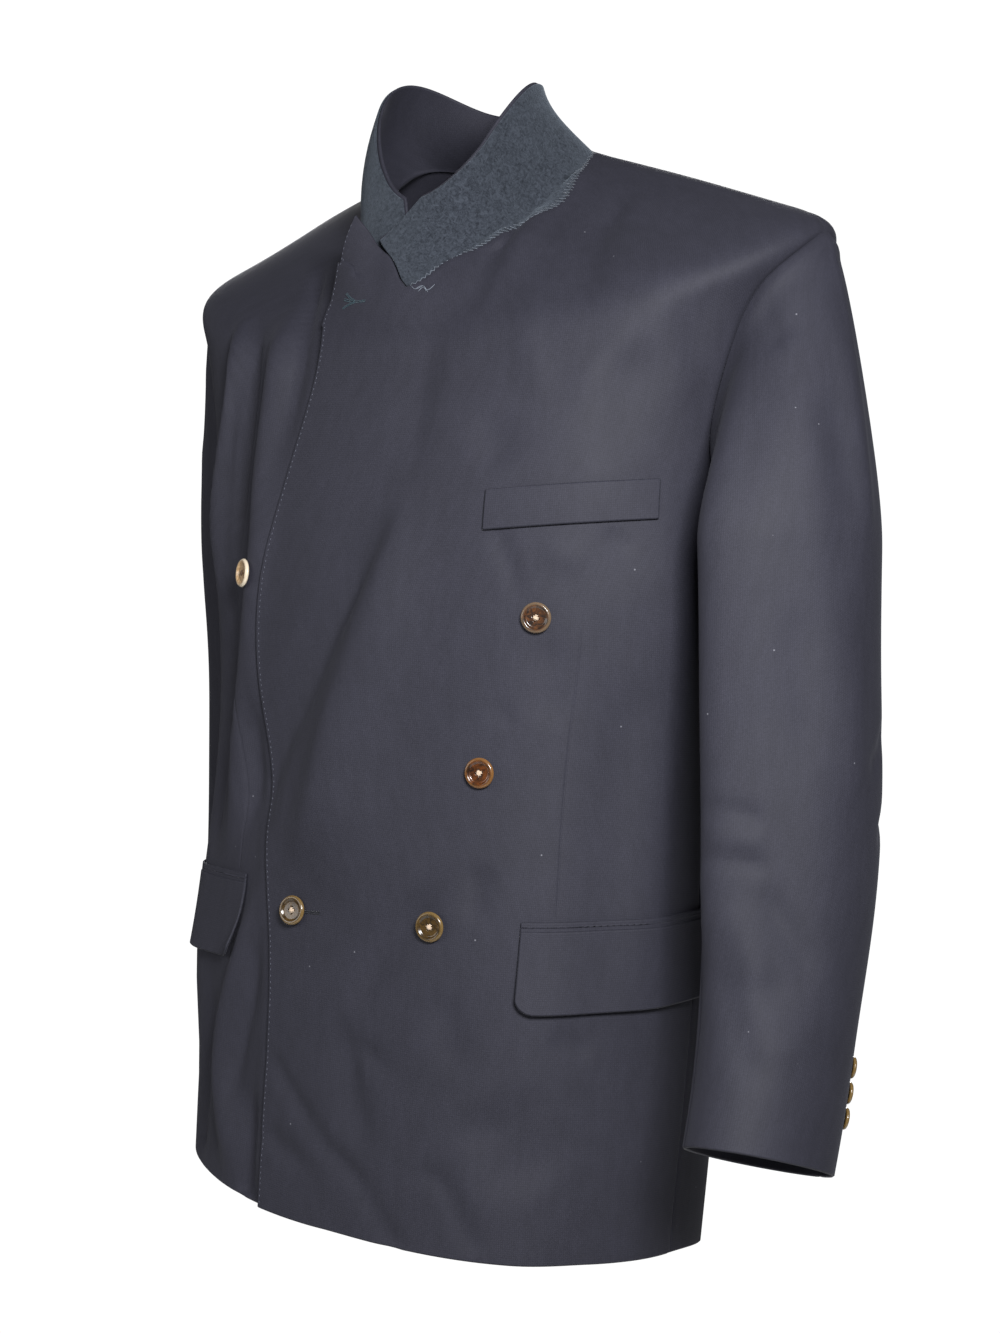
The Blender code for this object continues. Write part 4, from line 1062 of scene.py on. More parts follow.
UNDER_COLLAR = make_collar("under_collar_felt", 0.0, FELT, MELTON, FELT_HEIGHT)
TOP_COLLAR = make_collar("top_collar_cloth", -SEAM_GAP - CLOTH, -SEAM_GAP, SUITING, 1.0)

# %% [markdown]
# ## The sleeves
#
# A tailored sleeve leaves the armhole almost level, rolls over a little wadding, and turns down. Each
# column of the sleeve starts at a point of the armhole and ends on a ring of the arm, with a smooth
# curve between that has a direction at both ends. Below that, rings follow the arm, which bends gently
# forward from the elbow. Two seams divide it into a top sleeve and an under sleeve.

# %% Rings of the arms
LEFT_ARM = (
    # x, y, z, half width across, half depth fore and aft
    (0.2740, -0.0500, -0.300, 0.0540, 0.0750),
    (0.2765, -0.0540, -0.385, 0.0535, 0.0725),
    (0.2795, -0.0575, -0.452, 0.0530, 0.0735),
    (0.2815, -0.0670, -0.536, 0.0510, 0.0710),
    (0.2825, -0.0850, -0.612, 0.0470, 0.0655),
    (0.2830, -0.1010, -0.668, 0.0450, 0.0635),
    (0.2835, -0.1155, -0.704, 0.0440, 0.0630),
)
RIGHT_ARM = (
    (0.2665, 0.0520, -0.300, 0.0500, 0.0720),
    (0.2675, 0.0600, -0.385, 0.0500, 0.0705),
    (0.2690, 0.0620, -0.452, 0.0500, 0.0705),
    (0.2715, 0.0600, -0.536, 0.0485, 0.0680),
    (0.2740, 0.0530, -0.610, 0.0460, 0.0640),
    (0.2745, 0.0470, -0.655, 0.0440, 0.0625),
    (0.2750, 0.0420, -0.690, 0.0430, 0.0610),
)
# How hard each column leaves the armhole and comes down to the arm, and the least part of that
CAP_OUT, CAP_DOWN, CAP_LEAST = {1: 0.044, -1: 0.030}, 0.200, 0.30
CAP_LENGTH = 0.200        # about how long a column is from the armhole to the first ring of the arm
ARM_LEAN = 0.8            # 1 would set the rings square to the arm, and 0 level
CAP_LIFT = 0.6            # how much of the armhole's own direction a column takes as it leaves
FOLD_START = 0.6          # columns that face the body less than this fold round under the arm
ROPE_HEIGHT, ROPE_AWAY, ROPE_WIDTH = 0.0016, 0.010, 0.006    # the roll of wadding along the sleeve's top
UNDER_SEAM_FRONT, UNDER_SEAM_BACK = 5.80, 7.20   # rows of the armhole where the sleeve's two seams start


def arm_lengths(table):
    return np.linalg.norm(np.diff(table[:, :3], axis=0), axis=1)


def arm_ring(loft, row, around, side):
    """Points of the sleeve at a row of its table. around is 0 at the body, a quarter turn at the front."""
    here = read_loft(loft, row)
    ahead = read_loft(loft, np.minimum(row + 0.05, len(loft[0]) - 1))
    behind = read_loft(loft, np.maximum(row - 0.05, 0))
    down = unit((ahead[..., :3] - behind[..., :3]) * np.array([ARM_LEAN, ARM_LEAN, 1.0]))
    forward = unit(np.array([0.0, -1.0, 0.0]) - down * (-down[..., 1:2]))
    outward = np.cross(forward, down)
    outward *= np.sign(outward[..., 0:1])
    mirror = np.array([side, 1.0, 1.0])
    across = -np.cos(around)[..., None] * outward * mirror * here[..., 3:4]
    return here[..., :3] * mirror + across + np.sin(around)[..., None] * forward * mirror * here[..., 4:5]


ARM_LENGTH = arm_lengths(np.array(LEFT_ARM)).sum()
print("left arm is", round(float(ARM_LENGTH), 3), "m from its first ring to the cuff")

# %% Folds of the sleeves
SLEEVE_FOLDS = {
    1: [
        # elbow creases
        fold_through(0.0055, -0.0026, (0.250, -0.128, -0.470), (0.267, -0.131, -0.472),
                     (0.281, -0.132, -0.474), (0.297, -0.130, -0.479)),
        fold_through(0.0050, -0.0024, (0.250, -0.128, -0.502), (0.267, -0.133, -0.504),
                     (0.283, -0.135, -0.505), (0.304, -0.131, -0.509)),
        fold_through(0.0070, 0.0020, (0.256, -0.132, -0.488), (0.276, -0.135, -0.489),
                     (0.298, -0.132, -0.494)),
        # diagonals on the forearm
        fold_through(0.0100, -0.0028, (0.288, -0.138, -0.516), (0.300, -0.134, -0.530),
                     (0.314, -0.126, -0.550), (0.328, -0.107, -0.586)),
        fold_through(0.0120, -0.0026, (0.262, -0.142, -0.560), (0.276, -0.148, -0.590),
                     (0.290, -0.152, -0.620), (0.305, -0.156, -0.656)),
        fold_through(0.0110, 0.0022, (0.268, -0.140, -0.530), (0.288, -0.144, -0.560),
                     (0.304, -0.142, -0.592)),
        # silky ridge on the hind arm, dimple in the cap, and the broad light plane
        fold_through(0.0110, 0.0034, (0.296, -0.034, -0.130), (0.303, -0.036, -0.155),
                     (0.314, -0.042, -0.200), (0.324, -0.048, -0.248), (0.330, -0.050, -0.310)),
        fold_through(0.0130, -0.0030, (0.300, -0.058, -0.180), (0.308, -0.064, -0.225),
                     (0.315, -0.072, -0.280), (0.318, -0.080, -0.340)),
        fold_through(0.0120, -0.0030, (0.248, -0.062, -0.128), (0.262, -0.068, -0.146),
                     (0.280, -0.068, -0.166)),
        fold_through(0.0170, 0.0100, (0.246, -0.066, -0.150), (0.249, -0.089, -0.200),
                     (0.251, -0.112, -0.260), (0.252, -0.120, -0.340), (0.253, -0.122, -0.400),
                     (0.258, -0.127, -0.470), (0.261, -0.134, -0.535), (0.264, -0.146, -0.610),
                     fade=(0.15, 0.2)),
        fold_through(0.0330, -0.0085, (0.294, -0.096, -0.200), (0.299, -0.109, -0.269),
                     (0.303, -0.119, -0.399), (0.307, -0.130, -0.528), (0.313, -0.142, -0.623),
                     fade=(0.25, 0.1)),
        fold_through(0.0150, -0.0022, (0.306, -0.108, -0.330), (0.315, -0.107, -0.390),
                     (0.320, -0.109, -0.450)),
        fold_through(0.0130, 0.0020, (0.330, -0.070, -0.360), (0.332, -0.072, -0.420),
                     (0.331, -0.080, -0.480)),
        # the inner and hind sides
        fold_through(0.0080, -0.0026, (0.320, -0.010, -0.420), (0.332, -0.040, -0.440),
                     (0.334, -0.060, -0.452)),
        fold_through(0.0080, -0.0026, (0.300, 0.008, -0.470), (0.322, -0.014, -0.482),
                     (0.333, -0.044, -0.500)),
        fold_through(0.0080, -0.0024, (0.226, -0.060, -0.420), (0.226, -0.088, -0.436),
                     (0.240, -0.112, -0.446)),
    ],
    -1: [
        fold_through(0.0065, -0.0028, (-0.246, -0.006, -0.462), (-0.268, -0.010, -0.466),
                     (-0.292, -0.002, -0.474)),
        fold_through(0.0060, -0.0026, (-0.250, -0.004, -0.492), (-0.272, -0.010, -0.498),
                     (-0.300, 0.002, -0.502)),
        fold_through(0.0070, 0.0020, (-0.250, -0.006, -0.478), (-0.272, -0.010, -0.482),
                     (-0.294, -0.001, -0.488)),
        fold_through(0.0100, -0.0030, (-0.312, 0.030, -0.390), (-0.318, 0.060, -0.420),
                     (-0.314, 0.088, -0.440)),
        fold_through(0.0100, -0.0028, (-0.306, 0.020, -0.520), (-0.318, 0.050, -0.548),
                     (-0.316, 0.076, -0.566)),
        fold_through(0.0120, -0.0028, (-0.292, 0.000, -0.560), (-0.302, 0.010, -0.600),
                     (-0.306, 0.024, -0.650)),
        fold_through(0.0130, -0.0032, (-0.290, -0.010, -0.200), (-0.302, 0.000, -0.260),
                     (-0.308, 0.012, -0.330)),
        fold_through(0.0140, 0.0032, (-0.300, 0.030, -0.190), (-0.314, 0.044, -0.260),
                     (-0.317, 0.056, -0.340)),
        fold_through(0.0110, -0.0026, (-0.252, -0.030, -0.150), (-0.268, -0.026, -0.180),
                     (-0.276, -0.022, -0.215)),
        fold_through(0.0150, -0.0030, (-0.262, 0.124, -0.300), (-0.266, 0.130, -0.370),
                     (-0.268, 0.132, -0.430)),
    ],
}
print(len(SLEEVE_FOLDS[1]), "folds on the left sleeve,", len(SLEEVE_FOLDS[-1]), "on the right")


# %% Where a sleeve starts
def armhole(side):
    """Points of the armhole, up its front and down its back, with the body's normals and the rows."""
    front = 90.0 - armhole_turn(ARMHOLE_ROWS, ARMHOLE_FRONT)
    back = 90.0 + armhole_turn(ARMHOLE_ROWS, ARMHOLE_BACK)
    turns = side * np.concatenate([front, back[-2:0:-1]])
    rows = np.concatenate([ARMHOLE_ROWS, ARMHOLE_ROWS[-2:0:-1]])
    start, = skin(turns, rows, (0.0,), side > 0, BODY_FOLDS + SEAMS)
    return start, form_normal(turns, rows), rows


def angles_around(start):
    """Angle round the arm that each point of the armhole leads to: half a turn up, and half down."""
    run = distances(np.concatenate([start, start[:1]]))
    top = len(ARMHOLE_ROWS) - 1
    down = (run[top + 1:-1] - run[top]) / (run[-1] - run[top])
    return np.concatenate([math.pi * run[:top + 1] / run[top], math.pi + math.pi * down])


print("the left armhole has", len(angles_around(armhole(1)[0])), "columns")


# %% Grid of a whole sleeve
def sleeve_grid(side):
    """Inner points of a whole sleeve and its outward normals: rows from armhole to cuff, columns around."""
    loft = make_loft(LEFT_ARM if side > 0 else RIGHT_ARM, arm_lengths)
    start, lean, rows = armhole(side)
    around = angles_around(start)
    leave = unit(np.cross(np.roll(start, -1, axis=0) - np.roll(start, 1, axis=0), lean) * side)
    outward = unit(np.array([side, 0.0, 0.0]) + CAP_LIFT * leave)
    ring = arm_ring(loft, np.zeros_like(around), around, side)
    below = arm_ring(loft, np.full_like(around, 0.1), around, side)
    downward = unit(below - ring)
    reach = np.clip(np.linalg.norm(ring - start, axis=-1, keepdims=True) / CAP_DOWN, CAP_LEAST, 1.0)
    facing = (unit(ring - ring.mean(axis=0)) * lean).sum(-1, keepdims=True)
    turned = np.clip((FOLD_START - facing) / (2 * FOLD_START), 0, 1)
    start = start + lean * turned * 2 * (CLOTH + SEAM_GAP)
    grid = [start + outward * 2 * SEAM_GAP]
    for t in spread(CAP_LENGTH, True, False)[1:] ** 1.15:
        leaving = (t ** 3 - 2 * t ** 2 + t) * CAP_OUT[side] * reach * outward
        coming = (t ** 3 - t ** 2) * CAP_DOWN * reach * downward
        grid.append((2 * t ** 3 - 3 * t ** 2 + 1) * start + leaving
                    + (3 * t ** 2 - 2 * t ** 3) * ring + coming)
    for t in spread(ARM_LENGTH, False, True)[1:]:
        grid.append(arm_ring(loft, np.full_like(around, (len(LEFT_ARM) - 1) * t), around, side))
    grid = np.array(grid)
    round_arm = np.roll(grid, -1, axis=1) - np.roll(grid, 1, axis=1)
    out = unit(np.cross(np.gradient(grid, axis=0), round_arm) * side)
    first = unit(lean * (1 - ease(turned, 0.5, 1.0)) + out[2] * ease(turned, 0.5, 1.0))
    blended = 9               # so many rows turn from the body's normals to the sleeve's own
    for row in range(blended):
        part = ease(row, 0, blended)
        out[row] = unit(first * (1 - part) + out[row] * part)
    away = distances(grid)
    roping = ROPE_HEIGHT * np.exp(-((away - ROPE_AWAY) / ROPE_WIDTH) ** 2) * ease(rows, 7.0, 8.4)
    sink = -0.0010 * np.exp(-(away / 0.0020) ** 2)
    lift = relief(grid, SLEEVE_FOLDS[side]) * ease(away, 0.004, 0.03) + roping + sink
    grid = grid + out * lift[..., None]
    return grid, out, rows


# %% Sew the sleeves
def sleeve_seams(rows):
    """Columns where the two sleeve seams lie: in front and behind."""
    top = len(ARMHOLE_ROWS) - 1
    ahead = int(np.argmin(np.abs(rows[:top] - UNDER_SEAM_FRONT)))
    behind = top + int(np.argmin(np.abs(rows[top:] - UNDER_SEAM_BACK)))
    return ahead, behind


def make_sleeve(side):
    grid, out, rows = sleeve_grid(side)
    count = grid.shape[1]
    ahead, behind = sleeve_seams(rows)
    over = np.arange(ahead, behind + 1)
    under = np.arange(behind, count + ahead + 1) % count
    pieces = {}
    for part, columns in (("top", over), ("under", under)):
        base, way = grid[:, columns], out[:, columns]
        across = distances(base, 1)
        from_edge = np.minimum(across, across[:, -1:] - across)
        sink = (-0.0008 * np.exp(-(from_edge / 0.0022) ** 2))[..., None]
        edges = [((slice(None), 0), (slice(None), 1)), ((slice(None), -1), (slice(None), -2))]
        layers = [draw_in(base + way * (depth + sink), *edges, by=SEAM_GAP) for depth in (0.0, CLOTH)]
        pieces[part] = cloth_wall(f"sleeve_{HAND[side]}_{part}_cloth", *layers, SUITING)
    return pieces, grid, out, over


SLEEVES = {side: make_sleeve(side) for side in HAND}

# %% [markdown]
# ## Pockets
#
# The breast welt is a folded strip that leans up towards the arm. Each lower pocket has a narrow jet and
# a flap, which is a little stiff and stands off the cloth at its lower edge.

# %% Welt, jets and flaps
WELT_X, WELT_Z, WELT_LENGTH, WELT_HEIGHT, WELT_RISE = 0.0957, -0.2600, 0.115, 0.026, 0.008
POCKET = {1: (0.119, -0.555), -1: (-0.115, -0.537)}      # x and z of each pocket's front end
POCKET_LENGTH, JET_HEIGHT, JET_THICK = 0.165, 0.006, 0.0014
FLAP_HEIGHT, FLAP_THICK, FLAP_CORNER = 0.055, 0.0020, 0.012
FLAP_STAND = {1: 0.0030, -1: 0.0038}     # how far a flap's front corner stands off the cloth
FLAP_STAND_BEHIND, FLAP_WAVE = 0.0025, 0.0007        # its hind corner, and the wave of its lower edge


def make_welt():
    turn, row = place(WELT_X, WELT_Z)
    parts = spread(WELT_LENGTH, step=0.004)
    turns = turns_along(turn, row, WELT_LENGTH * parts, 1)
    down = WELT_HEIGHT * spread(WELT_HEIGHT, step=0.003)[::-1]
    rows = np.array([[row_at(t, WELT_Z + WELT_RISE * p - d) for t, p in zip(turns, parts)] for d in down])
    turns = np.broadcast_to(turns, rows.shape)
    belly = 0.0004 * np.sin(math.pi * parts)[None, :] * np.sin(math.pi * down / WELT_HEIGHT)[:, None]
    inner, outer = skin(turns, rows, (CLOTH + LAY, 2 * CLOTH + LAY), True, BODY_FOLDS)
    outer = outer + form_normal(turns, rows) * belly[..., None]
    return cloth_wall("breast_welt_cloth", inner, outer, SUITING)


def make_jet(side):
    x, z = POCKET[side]
    turn, row = place(x, z)
    turns = turns_along(turn, row, POCKET_LENGTH * spread(POCKET_LENGTH), side)
    down = JET_HEIGHT * spread(JET_HEIGHT, step=0.002)[::-1]
    rows = np.array([[row_at(t, z - d) for t in turns] for d in down])
    turns = np.broadcast_to(turns, rows.shape)
    layers = skin(turns, rows, (CLOTH + LAY, CLOTH + LAY + JET_THICK), side > 0, BODY_FOLDS)
    return cloth_wall(f"jet_{HAND[side]}_cloth", *layers, SUITING)


def make_flap(side):
    x, z = POCKET[side]
    z -= JET_HEIGHT + 2 * SEAM_GAP
    turn, row = place(x, z)
    lengths = POCKET_LENGTH * spread(POCKET_LENGTH, step=0.0035)
    turns = turns_along(turn, row, lengths, side)
    short = np.clip(1 - np.minimum(lengths, POCKET_LENGTH - lengths) / FLAP_CORNER, 0, 1)
    height = FLAP_HEIGHT - FLAP_CORNER * (1 - np.sqrt(1 - short ** 2 * 0.96))
    down = spread(FLAP_HEIGHT, step=0.0035)[::-1]
    rows = np.array([[row_at(t, z - h * part) for t, h in zip(turns, height)] for part in down])
    turns = np.broadcast_to(turns, rows.shape)
    near_front = np.exp(-lengths / 0.05)
    stand = FLAP_STAND_BEHIND + (FLAP_STAND[side] - FLAP_STAND_BEHIND) * near_front
    stand = down[:, None] ** 2 * stand[None, :]
    wave = FLAP_WAVE * np.sin(lengths / POCKET_LENGTH * 7.5 + side) * down[:, None]
    inner, outer = skin(turns, rows, (CLOTH + LAY, CLOTH + LAY + FLAP_THICK), side > 0, BODY_FOLDS)
    lift = form_normal(turns, rows) * (stand + np.abs(wave))[..., None]
    return cloth_wall(f"flap_{HAND[side]}_cloth", inner + lift, outer + lift, SUITING)


WELT = make_welt()
JETS = {side: make_jet(side) for side in HAND}
FLAPS = {side: make_flap(side) for side in HAND}

# %% [markdown]
# ## Stitches
#
# Thread is real geometry here: a thin tube along a line of points. One function makes a mesh from many
# such lines. The felt is sewn down with a zigzag along the collar seam, the left front has small pick
# stitches along its edge and lapel, and two buttonholes are worked with many short bars.

# %% Tubes of thread
def thread_tubes(name, lines, radius, material, sides=6):
    """One mesh of tubes along lines of points, closed at their ends."""
    points, faces = [], []
    for line in lines:
        line = np.array(line, float)
        way = unit(np.gradient(line, axis=0))
        helper = np.where(np.abs(way[:, 2:3]) < 0.9, [[0.0, 0.0, 1.0]], [[1.0, 0.0, 0.0]])
        first = unit(np.cross(way, helper))
        second = np.cross(way, first)
        start = len(points)
        for i, centre in enumerate(line):
            thin = 0.55 if i in (0, len(line) - 1) else 1.0
            for k in range(sides):
                angle = 2 * math.pi * k / sides
                out = math.cos(angle) * first[i] + math.sin(angle) * second[i]
                points.append(centre + thin * radius * out)
        for i in range(len(line) - 1):
            for k in range(sides):
                a, b = start + i * sides + k, start + i * sides + (k + 1) % sides
                faces.append((a, b, b + sides, a + sides))
        faces.append(tuple(start + k for k in reversed(range(sides))))
        last = start + (len(line) - 1) * sides
        faces.append(tuple(last + k for k in range(sides)))
    piece = new_piece(name, [tuple(p) for p in points], faces, material)
    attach(piece, "root")
    print(f"{name}: {len(lines)} threads, {len(faces)} faces")


def on_cloth(turn, row, out, lapped, strokes=None):
    """One or more points on the outside of the cloth."""
    return skin(turn, row, (out,), lapped, strokes or strokes_of(1 if lapped else -1))[0]


def along(line, lengths):
    """Points at distances along a line of points."""
    run = distances(line)
    return np.stack([np.interp(lengths, run, line[:, axis]) for axis in range(3)], axis=-1)


dice = np.random.default_rng(7)
print("no two hand stitches are alike, so dice vary them")

# %% Zigzag along the collar seam
ZIGZAG_STEP, PICK_STEP, BAR_STEP = 0.0019, 0.0042, 0.0008       # from one stitch to the next


def collar_zigzag():
    turns = np.linspace(GORGE_CORNER + 1.5, 360 - GORGE_CORNER - 1.5, 2000)
    run = distances(form(turns, gorge_row(turns)))
    places = np.interp(np.arange(0.001, run[-1], ZIGZAG_STEP), run, turns)
    high = np.arange(len(places)) % 2
    up = np.where(high == 1, 0.045, -0.020) + dice.normal(0, 0.008, len(places))
    places = places + dice.normal(0, 0.10, len(places))
    out = np.where(high == 1, FELT + 0.0001, CLOTH + 0.0001)
    base = gorge_row(places) + up
    seams = BODY_FOLDS + SEAMS
    return [on_cloth(places, base, 0.0, True, seams) + form_normal(places, base) * out[:, None]]


thread_tubes("felt_zigzag", collar_zigzag(), 0.00017, THREAD_FELT, 5)


# %% Pick stitches along the front edge and the lapel
def edge_stitches(side):
    turns, rows = front_grid(side)[:2]
    inset = int(np.argmin(np.abs(spread(EDGE_TO_GORGE) * EDGE_TO_GORGE - 0.0022)))
    line = on_cloth(turns[:, inset], rows[:, inset], CLOTH + 0.00005, side > 0)
    stitches = []
    for at in np.arange(0.004, distances(line)[-1] - 0.004, PICK_STEP):
        at += dice.normal(0, 0.0003)
        stitches.append(along(line, [at - 0.0007, at, at + 0.0007]))
    return stitches


thread_tubes("edge_pick_stitches", edge_stitches(1), 0.00016, THREAD_PICK, 5)


# %% Worked buttonholes
def bars(points, normal, half, spacing=BAR_STEP):
    """Short bars across a line, as the purl edge of a buttonhole. Each reaches half to both sides."""
    line = smooth_through(points, 40)
    lines = []
    for at in np.arange(0, distances(line)[-1], spacing):
        back, here, ahead = along(line, [at - 0.0005, at, at + 0.0005])
        across = unit(np.cross(ahead - back, normal))
        for way in (-1, 1):
            wide = half * (1 + dice.normal(0, 0.10))
            lines.append([
                here + across * way * 0.0001 + normal * 0.0002,
                here + across * way * wide * 0.5 + normal * 0.00045,
                here + across * way * wide + normal * 0.0001,
            ])
    return lines


def spots(points):
    """Points on the left front's cloth from places seen from the front at x and z."""
    found = np.array([place_outside(x, z) for x, z in points])
    return on_cloth(found[:, 0], found[:, 1], CLOTH, True)


FRONT_HOLE = ((-0.0530, -0.5573), (-0.0430, -0.5571), (-0.0320, -0.5569))
front_bars = bars(spots(FRONT_HOLE), form_normal(*place(*FRONT_HOLE[0])), 0.0014)
thread_tubes("buttonhole_front", front_bars, 0.00028, THREAD_NAVY, 5)


# %% The lapel's buttonhole, which spreads like a bird's foot at its inner end
def lapel_hole():
    toes = [
        [(-0.0490, -0.1150), (-0.0430, -0.1168), (-0.0360, -0.1180), (-0.0260, -0.1180)],
        [(-0.0495, -0.1215), (-0.0440, -0.1195), (-0.0380, -0.1182)],
        [(-0.0470, -0.1110), (-0.0420, -0.1150), (-0.0370, -0.1176)],
    ]
    turn, row = place(-0.040, -0.118)
    normal = form_normal(turn, row)
    lines = []
    for toe in toes:
        lines += bars(spots(toe), normal, 0.0010, 0.0009)
    return lines


thread_tubes("buttonhole_lapel", lapel_hole(), 0.00022, THREAD_TEAL, 5)


# %% Loose ends of thread at the collar's corner
def loose_ends():
    starts = [(0.0130, -0.1100), (0.0175, -0.1128), (0.0235, -0.1112), (0.0200, -0.1150)]
    shapes = [
        ((0.000, 0.000), (0.004, -0.003), (0.009, -0.001)),
        ((0.000, 0.000), (0.004, 0.002), (0.010, -0.003)),
        ((0.000, 0.000), (0.003, -0.003), (0.008, 0.001)),
        ((0.000, 0.000), (0.003, 0.003), (0.006, 0.000)),
    ]
    lines = []
    for (x, z), shape in zip(starts, shapes):
        line = spots([(x + dx, z + dz) for dx, dz in shape])
        turn, row = place(x, z)
        lines.append(smooth_through(line + form_normal(turn, row) * 0.0004, 10))
    return lines


thread_tubes("loose_threads", loose_ends(), 0.00018, THREAD_FELT, 5)

# %% [markdown]
# ## Buttons
#
# A horn button is turned on a lathe: a shallow dish inside a raised, rounded rim, flat behind, with four
# holes drilled near the middle. Here the face is a fine polar grid, and the holes are deep pits in it,
# because thread fills them. Each button stands on a stub of thread, which shows from the side, and a knot
# of thread crosses its middle.

# %% Turn a button
HOLE_OUT, HOLE_WIDE, HOLE_NARROW = 0.19, 0.098, 0.060       # of the radius: a hole's place, rim and pit
BACK_PROFILE = (   # parts of the radius and of the thickness, round the edge and over the flat back
    (1.012, 0.48), (1.0, 0.32), (0.95, 0.14), (0.86, 0.03), (0.72, 0.0), (0.30, 0.0), (0.02, 0.0),
)


def button_height(r, radius, thick):
    """Height of the face above the back, at distances from the middle."""
    part = r / radius
    dish = thick * (0.58 + 0.06 * part ** 2)
    rim = ease(part, 0.60, 0.80) * thick * 0.36
    fall = thick * 0.42 * np.clip((part - 0.86) / 0.14, 0, 1) ** 2.2
    return dish + rim - fall


def button_rings(radius, thick, shank, holes):
    """Rings of points over the face, round the edge and over the back. The button faces +Z."""
    around = np.linspace(0, 2 * math.pi, 73)[:-1]
    rings = []
    for r in radius * np.concatenate([np.linspace(0.02, 0.62, 26), np.linspace(0.65, 1.0, 17)]):
        x, y = r * np.cos(around), r * np.sin(around)
        z = np.full_like(x, float(button_height(np.array(r), radius, thick)))
        for hx, hy in holes:
            far = np.hypot(x - hx, y - hy)
            z -= 0.50 * thick * ease(far, HOLE_WIDE * radius, HOLE_NARROW * radius)
        rings.append(np.stack([x, y, z + shank], axis=-1))
    for part, height in BACK_PROFILE:
        x, y = part * radius * np.cos(around), part * radius * np.sin(around)
        rings.append(np.stack([x, y, np.full_like(around, shank + height * thick)], axis=-1))
    return np.array(rings)


def button_threads(radius, thick, shank, holes, wound):
    """Three threads through each pair of holes, and the stub that is wound nine times round the shank."""
    top = shank + 0.60 * thick
    lines = []
    for shift in (-0.10, 0.0, 0.10):
        for (x0, y0), (x1, y1) in ((holes[0], holes[2]), (holes[1], holes[3])):
            side = unit(np.array([y0 - y1, x1 - x0, 0.0])) * shift * radius * 0.6
            curve = [
                (x0, y0, top - 0.3 * thick), (x0 * 0.8, y0 * 0.8, top + 0.05 * thick),
                (0, 0, top + 0.17 * thick),
                (x1 * 0.8, y1 * 0.8, top + 0.05 * thick), (x1, y1, top - 0.3 * thick),
            ]
            lines.append(smooth_through(np.array(curve) + side, 9))
    angles = np.linspace(0, 9 * 2 * math.pi, 90)
    heights = np.linspace(-0.0006, shank + 0.0003, 90)
    return lines + [np.stack([wound * np.cos(angles), wound * np.sin(angles), heights], axis=-1)]


print("face height at the rim:", round(float(button_height(0.0085, 0.0105, 0.0034)) * 1000, 2), "mm")


# %% Put a button in its place
def make_button(name, at, normal, radius, thick, shank, wound, yarn, horn, thread, spin, lean=(0.0, 0.0)):
    """A button and its thread. wound and yarn are the radii of the thread's stub and of the thread itself.
    lean tips the button, in degrees, sideways and up."""
    corners = np.arange(4) * math.pi / 2 + math.pi / 4
    holes = [(HOLE_OUT * radius * math.cos(a), HOLE_OUT * radius * math.sin(a)) for a in corners]
    rings = button_rings(radius, thick, shank, holes)
    count, sides = rings.shape[:2]
    index = np.arange(count * sides).reshape(count, sides)
    after = np.roll(index, -1, axis=1)
    faces = np.stack([index[:-1], after[:-1], after[1:], index[1:]], axis=-1)
    faces = faces.reshape(-1, 4)[:, ::-1].tolist() + [index[0].tolist(), index[-1][::-1].tolist()]
    points = rings.reshape(-1, 3)
    # the texture map holds each point's part of the radius and of the thickness; the horn paints its rim
    # highlight from the radius
    flat = np.stack([np.hypot(points[:, 0], points[:, 1]) / radius, points[:, 2] / thick], axis=-1)
    turn = Vector(normal).normalized().to_track_quat("Z", "Y").to_matrix().to_4x4()
    tip = Matrix.Rotation(math.radians(lean[0]), 4, "Y") @ Matrix.Rotation(math.radians(lean[1]), 4, "X")
    sit = Matrix.Translation(Vector(at)) @ turn @ tip @ Matrix.Rotation(spin, 4, "Z")
    piece = new_piece(name + "_horn", points.tolist(), faces, horn, flat)
    piece.data.transform(sit)
    piece.data.update()
    declare(piece, name)
    lines = button_threads(radius, thick, shank, holes, wound)
    thread_tubes(name + "_thread", [[sit @ Vector(point) for point in line] for line in lines], yarn, thread)


# %% Front buttons
BUTTON = dict(radius=0.0105, thick=0.0034, shank=0.0016, wound=0.0014, yarn=0.0003675)
FRONT_BUTTONS = {
    # x, z, lapped, horn, spin, lean
    "button_left_top": (0.1280, -0.3460, True, HORN_GREY, 0.4, (0, 0)),
    "button_left_middle": (0.0914, -0.4530, True, HORN, 1.1, (-2, 1)),
    "button_left_low": (0.0600, -0.5600, True, HORN_OLIVE, 0.2, (0, 2)),
    "button_fastened": (-0.0560, -0.5575, True, HORN_OLIVE, 0.8, (9, -5)),
    "button_right_top": (-0.1130, -0.3142, False, HORN_PALE, 0.5, (-10, -6)),
}
for name, (x, z, lapped, horn, spin, lean) in FRONT_BUTTONS.items():
    turn, row = place(x, z)
    at = on_cloth(turn, row, CLOTH, lapped, BODY_FOLDS)
    thread = THREAD_BROWN if name == "button_right_top" else THREAD_PALE
    make_button(name, at, form_normal(turn, row), **BUTTON, horn=horn, thread=thread, spin=spin, lean=lean)

